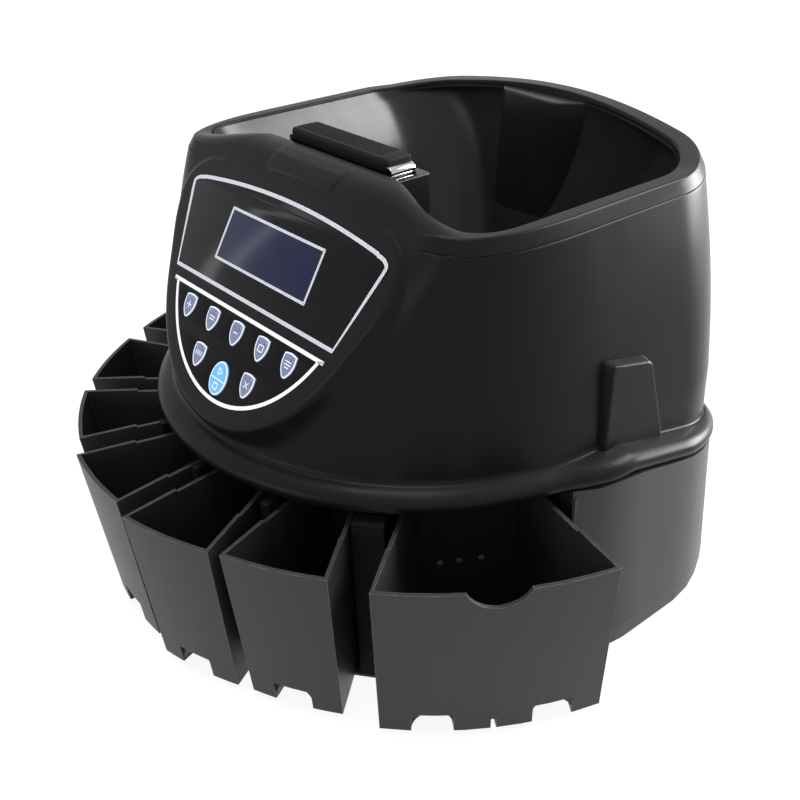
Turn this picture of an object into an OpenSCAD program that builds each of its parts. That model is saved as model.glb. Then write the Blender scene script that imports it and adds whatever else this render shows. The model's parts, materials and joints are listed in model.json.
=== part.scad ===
// Desktop coin sorter: a hopper feeds a turning disc, the coins drop through
// eight sized slots in the deck, and seven cups below collect them.
// +X is the operator's right, -Y is the front, +Z is up, millimetres.
// The origin is the centre of the sorting disc, on the surface it stands on.

/* [Cups] */
// Height of a cup
cup_h = 98; // [90:1:99]
// Width of a cup across its front, at the top
cup_w = 57; // [50:0.5:58]
// Width of the same face at the bottom
cup_w_low = 52.2; // [46:0.2:54]
// Width of the double cup across its front, at the top
double_w = 118.8; // [112:0.2:120]
// Width of the double cup's face at the bottom
double_w_low = 115.4; // [108:0.2:117]
// How far the foot of a cup's face stands back from its top edge
cup_lean = 9.6; // [4:0.2:12]
// Length of a cup from its face to its inner end
cup_depth = 88; // [80:1:90]
// Angle between each side of a cup and its centre line
cup_taper = 10.6; // [8:0.1:11]
// The same angle on the double cup
double_taper = 19; // [16:0.1:20]
// Wall of a cup
cup_wall = 2.2; // [1.6:0.1:3]
// Distance from the centre to the middle of a cup's face
cup_ring_r = 204; // [200:1:206]
// Angle from one coin slot to the next
slot_pitch = 19.65; // [19.4:0.05:19.9]
// Width of the tunnel under a cup that runs over its rail
tunnel_w = 21.4; // [18:0.2:22]
// Height of that tunnel
tunnel_h = 12.2; // [10:0.2:13]

/* [Base] */
// Half the width of the base at the floor
base_half_w = 172.3; // [168:0.1:175]
// Reach of the base behind the centre
base_rear = 149; // [144:1:152]
// Radius of the base between the cups
bay_r = 161.5; // [158:0.5:163]
// Height of the seam between the bottom pan and the base wall
seam_z = 12; // [10:0.5:14]
// Height of the base wall's top edge
wall_top = 108.5; // [106:0.2:109]
// Slope of the ledge towards the back
ledge_slope = 0.24; // [0:0.01:0.26]
// Wall thickness of the mouldings
wall = 3; // [2.5:0.1:3.5]

/* [Upper housing] */
// Radius of the rounded lip over the cups
lip_r = 159.8; // [157:0.2:161]
// Radius at which the housing rises from the lip
crease_r = 148.4; // [146:0.2:150]
// Height of that crease
crease_z = 122.6; // [120:0.2:126]
// Half the width of the housing below the hopper's rim
rim_half_w = 135.5; // [132:0.5:138]
// Reach of the rim behind the centre
rim_rear = 137.5; // [134:0.5:140]
// Height of the hopper's rim at the sides
rim_z = 244; // [240:0.5:248]
// Extra height of the rim at the back
rim_rear_rise = 11; // [4:0.5:12]
// Extra height of the rim over the panel
rim_front_rise = 10; // [4:0.5:12]

/* [Control panel] */
// Angle between the panel's face and the floor
panel_tilt = 58.3; // [56:0.1:62]
// Distance of the display's middle in front of the centre
panel_y = -102.1; // [-106:0.1:-98]
// Height of the display's middle
panel_z = 211.3; // [208:0.1:216]
// Width of the display
lcd_w = 84; // [78:0.5:88]
// Height of the display
lcd_h = 28.9; // [26:0.1:32]
// Spacing of the five keys in the upper row
key_pitch = 24; // [22:0.1:26]
// Travel of a key
key_travel = 0.6; // [0.3:0.1:1]

/* [Drive] */
// Radius of the coin disc
disc_r = 108; // [104:0.5:109]
// Radius of the pulley on the disc's shaft
disc_pulley_r = 38; // [34:0.5:42]
// Radius of the pulley on the motor
motor_pulley_r = 9; // [8:0.5:11]
// Distance from the disc's shaft to the motor's
shaft_gap = 64; // [62:0.5:70]

/* [Hidden] */
$fn = 36;

ABS = [0.09, 0.09, 0.10];
CUP = [0.14, 0.14, 0.15];
STEEL = [0.70, 0.71, 0.73];
CHROME = [0.82, 0.83, 0.85];

floor_t = 3.2;                      // floor of the bottom pan
cup_z = 4;                          // underside of the cups
deck_z = 105;                       // underside of the sorting deck
deck_t = 3;
ring_top = deck_z + 9;              // coin track, level with the disc
lip_z = 109;                        // underside of the lip
seat = 0.15;                        // gap between mouldings that seat on each other
end_angle = 4 * slot_pitch;         // where the base wall starts, from the front
// Where each cup was left in its bay: angle, radius and turn
cup_set = [[-0.5, -1, 0.5], [0.5, 0, -1.5], [0.6, 1.3, 1], [1.2, 2, 4.5], [1, 0.3, 7], [-0.7, -4.4, 0.2]];
double_set = [0.5, -1.8, -2.9];
single_lane = -1;                   // where the tunnels run, from a cup's centre line
double_lanes = [-31, 31];
coin_d = [17, 18.5, 20, 21.5, 23, 24.5, 26, 28];    // slot width for each coin, small to large

// ---- Outlines in plan: straight sides, an arched back with round corners, a round front ----
// o = [half width, front reach, rear reach, rear arch, arch power, rear corner, front corner]
BASE_LOW = [base_half_w, bay_r, base_rear, 66, 3, 36, 50];
BASE_TOP = [base_half_w - 5.3, bay_r - 3, base_rear - 2, 62, 3, 36, 50];
FLANGE = [base_half_w - 4.5, lip_r, base_rear - 1, 62, 3, 36, 50];
CREASE = [151.5, crease_r, base_rear - 5.5, 32, 2, 45, 0];
RIM = [rim_half_w, 107, rim_rear, 30, 2, 44, 0];
MOUTH = [122, 64, rim_rear - 14.5, 28, 2, 34, 0];
THROAT = [76, 76, 76, 0, 2, 76, 0];
front_power = [2, 3.2, 6];          // of the crease, the rim and the mouth

// distance outside a box corner of radius q
function corner(x, y, q) = norm([max(x + q, 0), max(y + q, 0)]) + min(max(x + q, y + q), 0) - q;
function behind(o, x, y) = corner(abs(x) - o[0], y + o[3] * pow(abs(x) / o[0], o[4]) - o[2], o[5]);
function ahead(o, x, y) = let (p = o[1] > 140 ? front_power[0] : o[1] > 100 ? front_power[1] : o[1] == o[0] ? 2 : front_power[2])
    pow(pow(abs(x) / o[0], p) + pow(abs(y) / o[1], p), 1 / p) - 1;
function bulged(o, x, y) = min(norm([x, y]) - o[1], corner(abs(x) - o[0], -y - o[6], o[6]));
function outside(o, x, y) = y > 0 ? behind(o, x, y) : o[6] > 0 ? bulged(o, x, y) : ahead(o, x, y);
// radius at angle a from the front, by halving the range that holds it
function outline_r(o, a, lo = 40, hi = 280, k = 15) = k == 0 ? (lo + hi) / 2
    : let (m = (lo + hi) / 2)
      outside(o, m * sin(a), -m * cos(a)) > 0 ? outline_r(o, a, lo, m, k - 1) : outline_r(o, a, m, hi, k - 1);
function polar(r, a) = [r * sin(a), -r * cos(a)];
function polar3(r, a, z) = [r * sin(a), -r * cos(a), z];

around = [for (a = [0 : 5 : 355]) a];
n_around = len(around);
function radii(o) = [for (a = around) outline_r(o, a)];
low_r = radii(BASE_LOW);
top_r = radii(BASE_TOP);
crease_rr = radii(CREASE);
flange_rr = radii(FLANGE);
rim_r = radii(RIM);
mouth_r = radii(MOUTH);
throat_r = radii(THROAT);

function ramp(a, b, t) = let (u = max(0, min(1, (t - a) / (b - a)))) u * u * (3 - 2 * u);
// height of the rim at angle a: level at the sides, higher behind and over the panel
function rim_height(a) = rim_z + rim_front_rise * ramp(0.5, 0.76, cos(a))
    + rim_rear_rise * pow(max(0, (-cos(a) - 0.55) / 0.45), 1.2) * (1 - 0.2 * sin(a));
// how far the ledge has dropped at a point y behind the centre
function drop(y) = ledge_slope * max(0, y - 3);
function fade(y) = 3 * max(0, min(y / 40, 1));

// ---- Solids from stacked rings ----
function ring_faces(n, m) = [for (j = [0 : m - 2]) for (i = [0 : n - 1])
    [j * n + i, j * n + (i + 1) % n, (j + 1) * n + (i + 1) % n, (j + 1) * n + i]];
module stack(rings) {               // closed solid, rings from the bottom up
    n = len(rings[0]);
    m = len(rings);
    polyhedron([for (r = rings) each r],
        [[for (i = [0 : n - 1]) i], each [for (f = ring_faces(n, m)) [f[3], f[2], f[1], f[0]]],
        [for (i = [n - 1 : -1 : 0]) (m - 1) * n + i]]);
}
function ring_at(rr, d, z) = [for (i = [0 : n_around - 1]) polar3(rr[i] + d, around[i], z)];
function blend_at(ra, rb, t, d, z) =
    [for (i = [0 : n_around - 1]) polar3(ra[i] * (1 - t) + rb[i] * t + d, around[i], z)];
function tilted(rr, d, dz) = [for (i = [0 : n_around - 1]) polar3(rr[i] + d, around[i], rim_height(around[i]) + dz)];

function ledge_ring(rr, d, z, f = 0) = [for (i = [0 : n_around - 1])
    let (y = -(rr[i] + d) * cos(around[i])) polar3(rr[i] + d, around[i], z - drop(y) - f * fade(y))];

module wedge(r, a, h) {             // sector from the front, a degrees each way
    linear_extrude(h) polygon([[0, 0], for (t = [-a : a / 8 : a + 0.01]) polar(r, t)]);
}
module spoke(a) { rotate([0, 0, a]) children(); }   // turns the front (-Y) by a towards +X
module on_panel() { translate([0, panel_y, panel_z]) rotate([panel_tilt, 0, 0]) children(); }
function slot_angle(i) = (i - 4.5) * slot_pitch;    // i = 1 to 8
function slot_of_cup(i) = slot_angle(i) + cup_set[i - 1][0];
// a cup's own place: its face is at the frame's origin and it points along -Y
module cup_place(angle, r, turn) {
    rotate([0, 0, angle]) translate([0, -r, 0]) rotate([0, 0, turn]) children();
}
module each_cup_place() {
    for (i = [1 : 6]) cup_place(slot_of_cup(i), cup_ring_r + cup_set[i - 1][1], cup_set[i - 1][2])
        translate([single_lane, 0, 0]) children();
    cup_place(slot_pitch * 3 + double_set[0], cup_ring_r + double_set[1], double_set[2])
        for (x = double_lanes) translate([x, 0, 0]) children();
}

// ---- Base ----
feet_at = [[-118, -72], [118, -72], [-118, 82], [118, 82], [0, 0]];
screws_at = [[-60, -60], [60, -60], [-150, 20], [150, 20], [-60, 116], [60, 116]];
module base_outline(rr, d) {
    polygon([for (i = [0 : n_around - 1])
        let (a = around[i], side = min(a, 360 - a))
        polar(side < end_angle ? bay_r + d : rr[i] + d, a)]);
}
module rail() {                     // rib that a cup's tunnel runs over
    intersection() {
        translate([0, cup_depth - 2, cup_z - 0.4]) rotate([90, 0, 0]) cylinder(r = tunnel_w / 2 - 0.6, h = cup_depth - 50, $fn = 30);
        translate([-20, 0, floor_t - 0.5]) cube([40, cup_depth, 20]);
    }
}
module base_pan() {
    color(ABS) difference() {
        union() {
            linear_extrude(1.5) base_outline(low_r, -1.5);
            translate([0, 0, 1.5]) linear_extrude(floor_t - 1.5) base_outline(low_r, 0);
            difference() {
                translate([0, 0, floor_t]) linear_extrude(seam_z - floor_t - seat) base_outline(low_r, 0);
                translate([0, 0, floor_t - 1]) linear_extrude(20) base_outline(low_r, -wall);
                translate([0, 0, floor_t]) wedge(260, end_angle + 1.8, 20);
            }
            intersection() {
                each_cup_place() rail();
                wedge(220, end_angle - 1, 30);
            }
            for (s = screws_at) translate([s[0], s[1], floor_t - 1]) cylinder(r = 4, h = 8);
        }
        for (p = feet_at) translate([p[0], p[1], -1]) cylinder(r = 9.2, h = 3.2);
        for (s = screws_at) translate([s[0], s[1], -1]) {
            cylinder(r = 1.8, h = 12);
            cylinder(r = 3.6, h = 3);
        }
    }
}
module bay_posts() {                // posts between the cups, each with a curved face
    color(ABS) for (k = [-3 : 2]) {
        half = k == 2 ? 3 : 0.95;
        a = k * slot_pitch + (k == 2 ? 0.6 : 0);
        translate([0, 0, floor_t]) linear_extrude(deck_z - floor_t) polygon([
            for (t = [-half : half / 3 : half + 0.01]) polar(bay_r, a + t),
            polar(bay_r - 9, a + half), polar(bay_r - 9, a - half)]);
    }
}
module rubber_feet() {
    color([0.05, 0.05, 0.05]) for (p = feet_at) translate([p[0], p[1], 0]) cylinder(r = 9, h = 2.1);
}
module base_screws() {
    color(STEEL) for (s = screws_at) translate([s[0], s[1], 0.3]) {
        cylinder(r = 3.3, h = 1.6, $fn = 18);
        cylinder(r = 1.6, h = 9, $fn = 12);
    }
}
wall_angles = [for (k = [0 : 40]) end_angle + (360 - 2 * end_angle) * k / 40];
port_y = base_rear + 2.5;           // flat patch on the back for the sockets
module base_wall() {
    low = [for (a = wall_angles) outline_r(BASE_LOW, a)];
    top = [for (a = wall_angles) outline_r(BASE_TOP, a)];
    n = len(wall_angles);
    pts = [for (k = [0 : n - 1]) let (a = wall_angles[k], z = wall_top - drop(-top[k] * cos(a))) each [
        polar3(low[k], a, seam_z), polar3(top[k], a, z),
        polar3(top[k] - wall, a, z), polar3(low[k] - wall, a, seam_z)]];
    polyhedron(pts, [[3, 2, 1, 0], each [for (k = [0 : n - 2]) for (j = [0 : 3])
        [4 * k + j, 4 * k + (j + 1) % 4, 4 * k + 4 + (j + 1) % 4, 4 * k + 4 + j]],
        [4 * n - 4, 4 * n - 3, 4 * n - 2, 4 * n - 1]]);
}
module port_holes() {
    for (p = [[-44, 28, 21], [-4, 20, 14], [40, 32, 13]])
        translate([p[0] - p[1] / 2, base_rear - 14, 40 - p[2] / 2]) cube([p[1], 40, p[2]]);
}
module base_shell() {
    color(ABS) difference() {
        union() {
            base_wall();
            for (s = [-1, 1]) spoke(s * (end_angle + 0.6)) translate([-1.2, -bay_r + 1, floor_t + seat])
                cube([2.4, 52, wall_top - floor_t - seat - 4]);
            intersection() {
                translate([-68, base_rear - 9, 22]) cube([136, 11.5, 36]);
                translate([0, 0, 20]) linear_extrude(60) polygon([for (a = around) polar(port_y + 40, a)]);
            }
        }
        port_holes();
    }
}
module drive_shroud() {             // closes the drive off from the cups
    color(ABS) translate([0, 0, floor_t + seat]) intersection() {
        difference() {
            cylinder(r = 106, h = deck_z - floor_t - 2 * seat);
            translate([0, 0, -1]) cylinder(r = 103.6, h = 200);
        }
        wedge(150, end_angle - 2, 110);
    }
}

// ---- Sorting ----
module sorting_deck() {
    color([0.75, 0.76, 0.78]) translate([0, 0, deck_z]) difference() {
        union() {
            cylinder(r = 144, h = deck_t, $fn = 96);
            difference() {
                translate([0, 0, deck_t - 0.5]) cylinder(r = 144, h = 6.5, $fn = 96);
                translate([0, 0, deck_t - 1]) cylinder(r = disc_r + 1.5, h = 10, $fn = 96);
            }
        }
        translate([0, 0, -1]) cylinder(r = 8, h = 10);
        translate([-200, base_rear - 15, -1]) cube([400, 40, 20]);
        for (i = [1 : 8]) spoke(slot_angle(i))
            translate([-coin_d[i - 1] / 2 - 1, -142, -1]) cube([coin_d[i - 1] + 2, coin_d[i - 1], 20]);
    }
}
module coin_sensors() {             // one light gate beside each coin slot
    color([0.15, 0.35, 0.2]) for (i = [1 : 8]) spoke(slot_angle(i) + 7.5)
        translate([-3, -141, deck_z - 2.5]) cube([6, 9, 2.4]);
}
module shaft_bushing() {
    color([0.72, 0.55, 0.25]) difference() {
        union() {
            translate([0, 0, deck_z - 8]) cylinder(r = 7.9, h = 11);
            translate([0, 0, deck_z - 3]) cylinder(r = 12, h = 2.9);
        }
        translate([0, 0, deck_z - 10]) cylinder(r = 4.05, h = 20);
    }
}
module disc_shaft() {
    color(STEEL) translate([0, 0, 76]) cylinder(r = 4, h = ring_top + 3 - 76);
}
module coin_disc() {
    color(STEEL) difference() {
        union() {
            translate([0, 0, ring_top - 2.5]) cylinder(r = disc_r, h = 2.5, $fn = 96);
            translate([0, 0, ring_top - 4.5]) cylinder(r = 16, h = 9);
            translate([0, 0, ring_top + 4.4]) cylinder(r1 = 14, r2 = 5, h = 4);
            for (k = [0 : 2]) spoke(k * 120) translate([-3, -96, ring_top - 0.5]) cube([6, 60, 2.5]);
        }
        translate([0, 0, 90]) cylinder(r = 4.02, h = ring_top + 3.1 - 90);
    }
}
module disc_pulley() {
    color([0.2, 0.2, 0.22]) difference() {
        union() {
            translate([0, 0, 79]) cylinder(r = disc_pulley_r, h = 7);
            translate([0, 0, 78]) cylinder(r = disc_pulley_r + 2, h = 1);
            translate([0, 0, 86]) cylinder(r = disc_pulley_r + 2, h = 1);
            translate([0, 0, 87]) cylinder(r = 9, h = 8);
        }
        translate([0, 0, 70]) cylinder(r = 4.02, h = 40);
        for (k = [0 : 4]) spoke(k * 72) translate([0, -23, 70]) cylinder(r = 8, h = 30, $fn = 24);
    }
}
module motor_pulley() {
    color(STEEL) translate([0, shaft_gap, 0]) difference() {
        union() {
            translate([0, 0, 79]) cylinder(r = motor_pulley_r, h = 7);
            translate([0, 0, 78]) cylinder(r = motor_pulley_r + 2, h = 1);
            translate([0, 0, 86]) cylinder(r = motor_pulley_r + 2, h = 1);
        }
        translate([0, 0, 70]) cylinder(r = 2.52, h = 40);
    }
}
module motor_shaft() {
    color(STEEL) translate([0, shaft_gap, 70.5]) cylinder(r = 2.5, h = 18.5);
}
belt_gap = 0.4;
module belt_loop(d) {
    hull() {
        circle(r = disc_pulley_r + d, $fn = 48);
        translate([0, shaft_gap]) circle(r = motor_pulley_r + d, $fn = 32);
    }
}
module drive_belt() {
    color([0.07, 0.07, 0.07]) translate([0, 0, 79.6]) linear_extrude(5.8) difference() {
        belt_loop(belt_gap + 1.4);
        belt_loop(belt_gap);
    }
}
module drive_motor() {
    color([0.45, 0.46, 0.48]) translate([0, shaft_gap, 0]) difference() {
        union() {
            translate([0, 0, 13]) cylinder(r = 27, h = 54);
            translate([0, 0, 67]) cylinder(r = 9, h = 4);
            translate([0, 0, 10]) cylinder(r = 8, h = 3);
        }
        translate([0, 0, 70]) cylinder(r = 2.55, h = 10);
        translate([0, 0, 60]) cylinder(r = 2.55, h = 20);
    }
}
module motor_bracket() {
    color(STEEL) translate([0, shaft_gap, 0]) difference() {
        union() {
            translate([0, 0, floor_t + seat]) cylinder(r = 32, h = 26);
            for (s = [-1, 1]) translate([s * 36 - 10, -8, floor_t + seat]) cube([20, 16, 3]);
        }
        translate([0, 0, 12.8]) cylinder(r = 27.3, h = 60);
        translate([0, 0, 9.8]) cylinder(r = 9, h = 60);
    }
}
module power_board() {
    color([0.12, 0.30, 0.18]) translate([-126, 26, 14]) {
        cube([70, 84, 1.6]);
        translate([8, 10, 1.4]) cube([34, 30, 26]);
        for (k = [0 : 2]) translate([16 + 18 * k, 62, 1.4]) cylinder(r = 6.5, h = 18);
        for (p = [[5, 5], [65, 5], [5, 79], [65, 79]]) translate([p[0], p[1], floor_t + seat - 14]) cylinder(r = 3, h = 14 - floor_t);
    }
}

// ---- Back sockets ----
module socket_plate(x, w, h) { translate([x - w / 2, port_y + 0.1, 40 - h / 2]) cube([w, 2, h]); }
module power_inlet() {
    color([0.05, 0.05, 0.06]) difference() {
        union() {
            socket_plate(-44, 36, 27);
            translate([-44 - 13.7, base_rear - 14, 40 - 10.2]) cube([27.4, 17, 20.4]);
        }
        translate([-44 - 11.5, base_rear - 10, 40 - 8]) cube([23, 20, 16]);
    }
    color(STEEL) for (p = [[-51, 38], [-37, 38], [-44, 43.5]])
        translate([p[0] - 1, base_rear - 11, p[1] - 2]) cube([2, 11, 4]);
}
rocker_x = -4;
module switch_body() {
    color([0.05, 0.05, 0.06]) difference() {
        union() {
            socket_plate(rocker_x, 25, 19);
            translate([rocker_x - 9.7, base_rear - 14, 40 - 6.7]) cube([19.4, 17, 13.4]);
        }
        translate([rocker_x - 8, base_rear - 10, 40 - 5.2]) cube([16, 20, 10.4]);
        translate([rocker_x - 20, port_y - 2.8, 40]) rotate([0, 90, 0]) cylinder(r = 1.05, h = 40);
    }
}
module power_rocker() {
    color([0.5, 0.05, 0.05]) translate([rocker_x, port_y - 2.8, 40]) {
        rotate([0, 90, 0]) translate([0, 0, -7.6]) rotate([0, 0, -8]) linear_extrude(15.2)
            polygon([[-4.5, 1], [-3, -2.5], [3, -2.5], [4.5, 1], [4, 5], [0, 4.2], [-4, 5]]);
        rotate([0, 90, 0]) translate([0, 0, -9.3]) cylinder(r = 1, h = 18.6);
    }
}
module printer_port() {
    color(STEEL) difference() {
        union() {
            socket_plate(40, 40, 15);
            translate([40 - 15.7, base_rear - 10, 40 - 6.2]) cube([31.4, 13, 12.4]);
            translate([40 - 9, port_y + 2, 40 - 4.5]) cube([18, 5, 9]);
        }
        translate([40 - 8, port_y - 2, 40 - 3.5]) cube([16, 12, 7]);
    }
}

// ---- Upper housing ----
// outer wall from the crease to the rim's chamfer, t from 0 to 1
function body_ring(t, d) = blend_at(crease_rr, rim_r, t, d + 2.5 * sin(180 * t), crease_z + (rim_z - 9 - crease_z) * t);
module body_solid(d) {              // d = 0 for the outside, -wall for the hollow
    stack([
        if (d < 0) ring_at(crease_rr, d, 60),
        if (d < 0) ring_at(crease_rr, d, crease_z - 4),
        if (d == 0) ledge_ring(crease_rr, 0, lip_z),
        if (d == 0) ledge_ring(crease_rr, 0, crease_z, 1),
        for (t = [0.08 : 0.184 : 1]) body_ring(t, d),
        tilted(rim_r, d - 3.2, d < 0 ? -2 + d : -3),
        tilted(rim_r, d - 7, d < 0 ? d : 0),
        tilted(mouth_r, -5, d < 0 ? d : -1)]);
}
module lip() {
    stack([ledge_ring(flange_rr, -3, lip_z), ledge_ring(flange_rr, -0.6, lip_z + 1.6), ledge_ring(flange_rr, 0, lip_z + 4),
        ledge_ring(flange_rr, 0, lip_z + 6.5), ledge_ring(flange_rr, -1.4, lip_z + 9.4, 0.3),
        ledge_ring(flange_rr, -4.5, lip_z + 11.6, 0.6), ledge_ring(crease_rr, 0.4, crease_z + 0.6, 1)]);
}
// outline of the display field and the keypad field, grown by g
top_corner = [89, 19];
function field_side(y) = 74 + (y + 30) * 0.3;          // half width of the display field at height y
function display_pts(g) = let (right = concat(
        [[field_side(-29) + g, -29 - g], [field_side(top_corner[1] - 7) + g, top_corner[1] - 7],
         [field_side(top_corner[1]) + g * 0.9, top_corner[1] + g * 0.4], [top_corner[0] - 6 + g * 0.7, top_corner[1] + 4.6 + g * 0.8]],
        [for (k = [1 : 5]) let (x = 83 * (1 - k / 6)) [x, 24 + g + 6.5 * (1 - pow(x / 83, 2))]]))
    concat(right, [[0, 30.5 + g]], [for (k = [len(right) - 1 : -1 : 0]) [-right[k][0], right[k][1]]]);
function keypad_pts(g) = concat([[-71.5 - 1.4 * g, -33.5 + g]], [for (u = [-60 : 6 : 60]) [(78 + g) * sin(u), 5 - (89 + g) * cos(u)]],
    [[71.5 + 1.4 * g, -33.5 + g]]);
bezel_g = 11;
function bezel_pts() = let (g = bezel_g)
    concat([for (u = [66 : -6 : -66]) [-(78 + g) * sin(u), 5 - (89 + g) * cos(u)]],
        [for (p = display_pts(g)) if (p[1] > -25) p]);
key_row = 44.8;
low_row = 65.4;
key_at = [[-2 * key_pitch, -key_row], [-key_pitch, -key_row], [0, -key_row], [key_pitch, -key_row],
    [2 * key_pitch, -key_row], [-23.8, -low_row], [0, -70.6], [23.8, -low_row]];
KEY_START = 6;
module key_shape(i, g) {            // a shield, or the oval start key
    translate(key_at[i]) if (i == KEY_START) scale_oval(7.4 + g, 9.4 + g); else polygon(shield(g));
}
function shield(g) = concat([for (k = [-3 : 3]) [k * (5.2 + g) / 3, 5.6 + g + 0.8 * (1 - pow(k / 3, 2))]],
    [[5.9 + g, 1], [4.6 + g, -3.4 - g * 0.6], [0, -7.2 - g], [-4.6 - g, -3.4 - g * 0.6], [-5.9 - g, 1]]);
module scale_oval(a, b) { polygon([for (u = [0 : 10 : 350]) [a * cos(u), b * sin(u)]]); }
module flank_boss(s) {              // tapered pad on each side, standing on the ledge
    hull() {
        translate([s * 145.5, 12, 167.5]) rotate([-13, 0, 0]) cube([9, 27, 0.5], center = true);
        translate([s * 147.2, 12, 162.5]) rotate([-13, 0, 0]) cube([13, 28.5, 0.5], center = true);
        translate([s * 149, 18.5, 112]) rotate([-13, 0, 0]) cube([13, 49, 0.5], center = true);
    }
}
module upper_housing() {
    color(ABS) difference() {
        union() {
            difference() {
                union() {
                    body_solid(0);
                    lip();
                    for (s = [-1, 1]) flank_boss(s);
                }
                on_panel() translate([-200, -200, -5]) cube([400, 400, 200]);
            }
            on_panel() translate([0, 0, -8]) linear_extrude(8) polygon(bezel_pts());
        }
        difference() {
            body_solid(-wall);
            on_panel() translate([-200, -200, -8]) cube([400, 400, 200]);
        }
        mouth_hole();
        on_panel() {
            translate([0, 0, -12]) linear_extrude(8.5) intersection() {
                polygon(keypad_pts(7));
                translate([-70, -92]) square([140, 60]);
            }
            translate([-75, -24, -12]) cube([150, 44, 8.5]);
            translate([0, 0, -1.7]) linear_extrude(5) polygon(display_pts(0.15));
            translate([0, 0, -1.7]) linear_extrude(5) polygon(keypad_pts(0.15));
            translate([-lcd_w / 2 - 2, -lcd_h / 2 - 2, -20]) cube([lcd_w + 4, lcd_h + 4, 30]);
            for (i = [0 : 7]) translate([0, 0, -20]) linear_extrude(30) key_shape(i, 0.4);
        }
    }
}

// ---- Hopper ----
funnel_t = 2.4;
function funnel_ring(t, d) = blend_at(mouth_r, throat_r, pow(t, 1.5), d, 236 + (118.5 - 236) * t);
module mouth_hole() {
    stack([ring_at(throat_r, 0.4, 110), for (t = [1 : -0.2 : 0]) funnel_ring(t, 0.4), ring_at(mouth_r, 0.4, 300)]);
}
module hopper_funnel() {
    color(ABS) difference() {
        union() {
            difference() {
                stack([for (t = [1 : -0.2 : 0]) funnel_ring(t, 0), tilted(mouth_r, 0, -2.5)]);
                stack([ring_at(throat_r, -funnel_t, 110), for (t = [1 : -0.2 : 0]) funnel_ring(t, -funnel_t),
                    tilted(mouth_r, -funnel_t, 20)]);
            }
            intersection() {
                stack([for (t = [1 : -0.2 : 0]) funnel_ring(t, -1), tilted(mouth_r, -1, 3)]);
                union() {
                    translate([-46, -75, 226]) cube([92, 46, 23]);
                    translate([0, 0, 150]) linear_extrude(100) polygon([[-42, 108], [2, 108], [21, 125], [21, 150], [-61, 150], [-61, 125]]);
                }
            }
        }
        translate([-34, -60, 231]) cube([68, 28, 40]);
        for (x = [-1, 1]) for (d = [-4, 4]) translate([x * 36.5, grip_y + d, 240]) cylinder(r = 1.3, h = 20);
    }
}

// ---- Control panel ----
module display_window() {
    color([0.02, 0.02, 0.03]) on_panel() translate([0, 0, -1.6]) linear_extrude(1.7) polygon(display_pts(0));
}
module keypad_overlay() {
    color([0.05, 0.05, 0.06]) on_panel() translate([0, 0, -1.6]) linear_extrude(1.7) difference() {
        polygon(keypad_pts(0));
        for (i = [0 : 7]) key_shape(i, 0.4);
    }
}
module lcd_module() {
    color([0.10, 0.12, 0.35]) on_panel() union() {
        translate([-lcd_w / 2 - 6, -lcd_h / 2 - 4.5, -10]) cube([lcd_w + 12, lcd_h + 9, 6]);
        translate([-lcd_w / 2, -lcd_h / 2, -4.5]) cube([lcd_w, lcd_h, 2.4]);
    }
}
module control_board() {
    color([0.10, 0.32, 0.18]) on_panel() translate([0, 0, -14]) linear_extrude(1.6) intersection() {
        polygon(keypad_pts(3));
        translate([-62, -84]) square([124, 64]);
    }
}
module key_switches() {
    color([0.1, 0.1, 0.1]) on_panel() for (p = key_at) translate([p[0], p[1], -12.4]) {
        translate([-3, -3, 0]) cube([6, 6, 3]);
        cylinder(r = 1.7, h = 5, $fn = 12);
    }
}
module key(i, c) {
    color(c) on_panel() {
        translate([0, 0, -5.5]) linear_extrude(6) key_shape(i, 0);
        translate([0, 0, -6.4]) linear_extrude(1) translate(key_at[i]) scale_oval(7, 8);
    }
}
KEY_GREY = [0.42, 0.46, 0.55];
module key_plus() { key(0, KEY_GREY); }
module key_batch() { key(1, KEY_GREY); }
module key_minus() { key(2, KEY_GREY); }
module key_set() { key(3, KEY_GREY); }
module key_print() { key(4, KEY_GREY); }
module key_report() { key(5, KEY_GREY); }
module key_start_stop() { key(KEY_START, [0.35, 0.68, 0.85]); }
module key_clear() { key(7, KEY_GREY); }

// ---- Carrying handle ----
grip_half = 41.4;
grip_y = -45.8;
module handle_grip() {
    color([0.06, 0.06, 0.06]) difference() {
        translate([-grip_half, grip_y, 251.8]) rotate([90, 0, 90]) linear_extrude(2 * grip_half)
            polygon([[-8, 0], [8, 0], [9, 1.2], [9, 6.6], [7.8, 8.4], [-7.8, 8.4], [-9, 6.6], [-9, 1.2]]);
        for (k = [-3 : 3]) translate([-grip_half + 3, grip_y + k * 2.2 - 0.4, 259.6]) cube([2 * grip_half - 10, 0.8, 2]);
        for (s = [-1, 1]) translate([s > 0 ? grip_half - 4.2 : -grip_half - 1, grip_y - 8, 250]) cube([5.2, 16, 4.9]);
    }
}
module handle_brackets() {          // bent strip at each end, screwed to the shelf
    color(CHROME) for (s = [-1, 1]) mirror([s < 0 ? 1 : 0, 0, 0]) difference() {
        union() {
            translate([35.6, grip_y - 7.8, 249]) cube([10, 15.6, 1.6]);
            translate([40.4, grip_y - 7.8, 252.2]) rotate([-90, 0, 0]) cylinder(r = 2.4, h = 15.6);
            translate([37.4, grip_y - 7.8, 252.2]) cube([3, 15.6, 2.4]);
        }
        translate([36.5, grip_y + 4, 240]) cylinder(r = 1.3, h = 10.8);
        translate([36.5, grip_y - 4, 240]) cylinder(r = 1.3, h = 10.8);
    }
}
module handle_screws() {
    color(STEEL) for (s = [-1, 1]) for (d = [-4, 4]) translate([s * 36.5, grip_y + d, 246]) cylinder(r = 1.1, h = 4.4);
}

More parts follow.
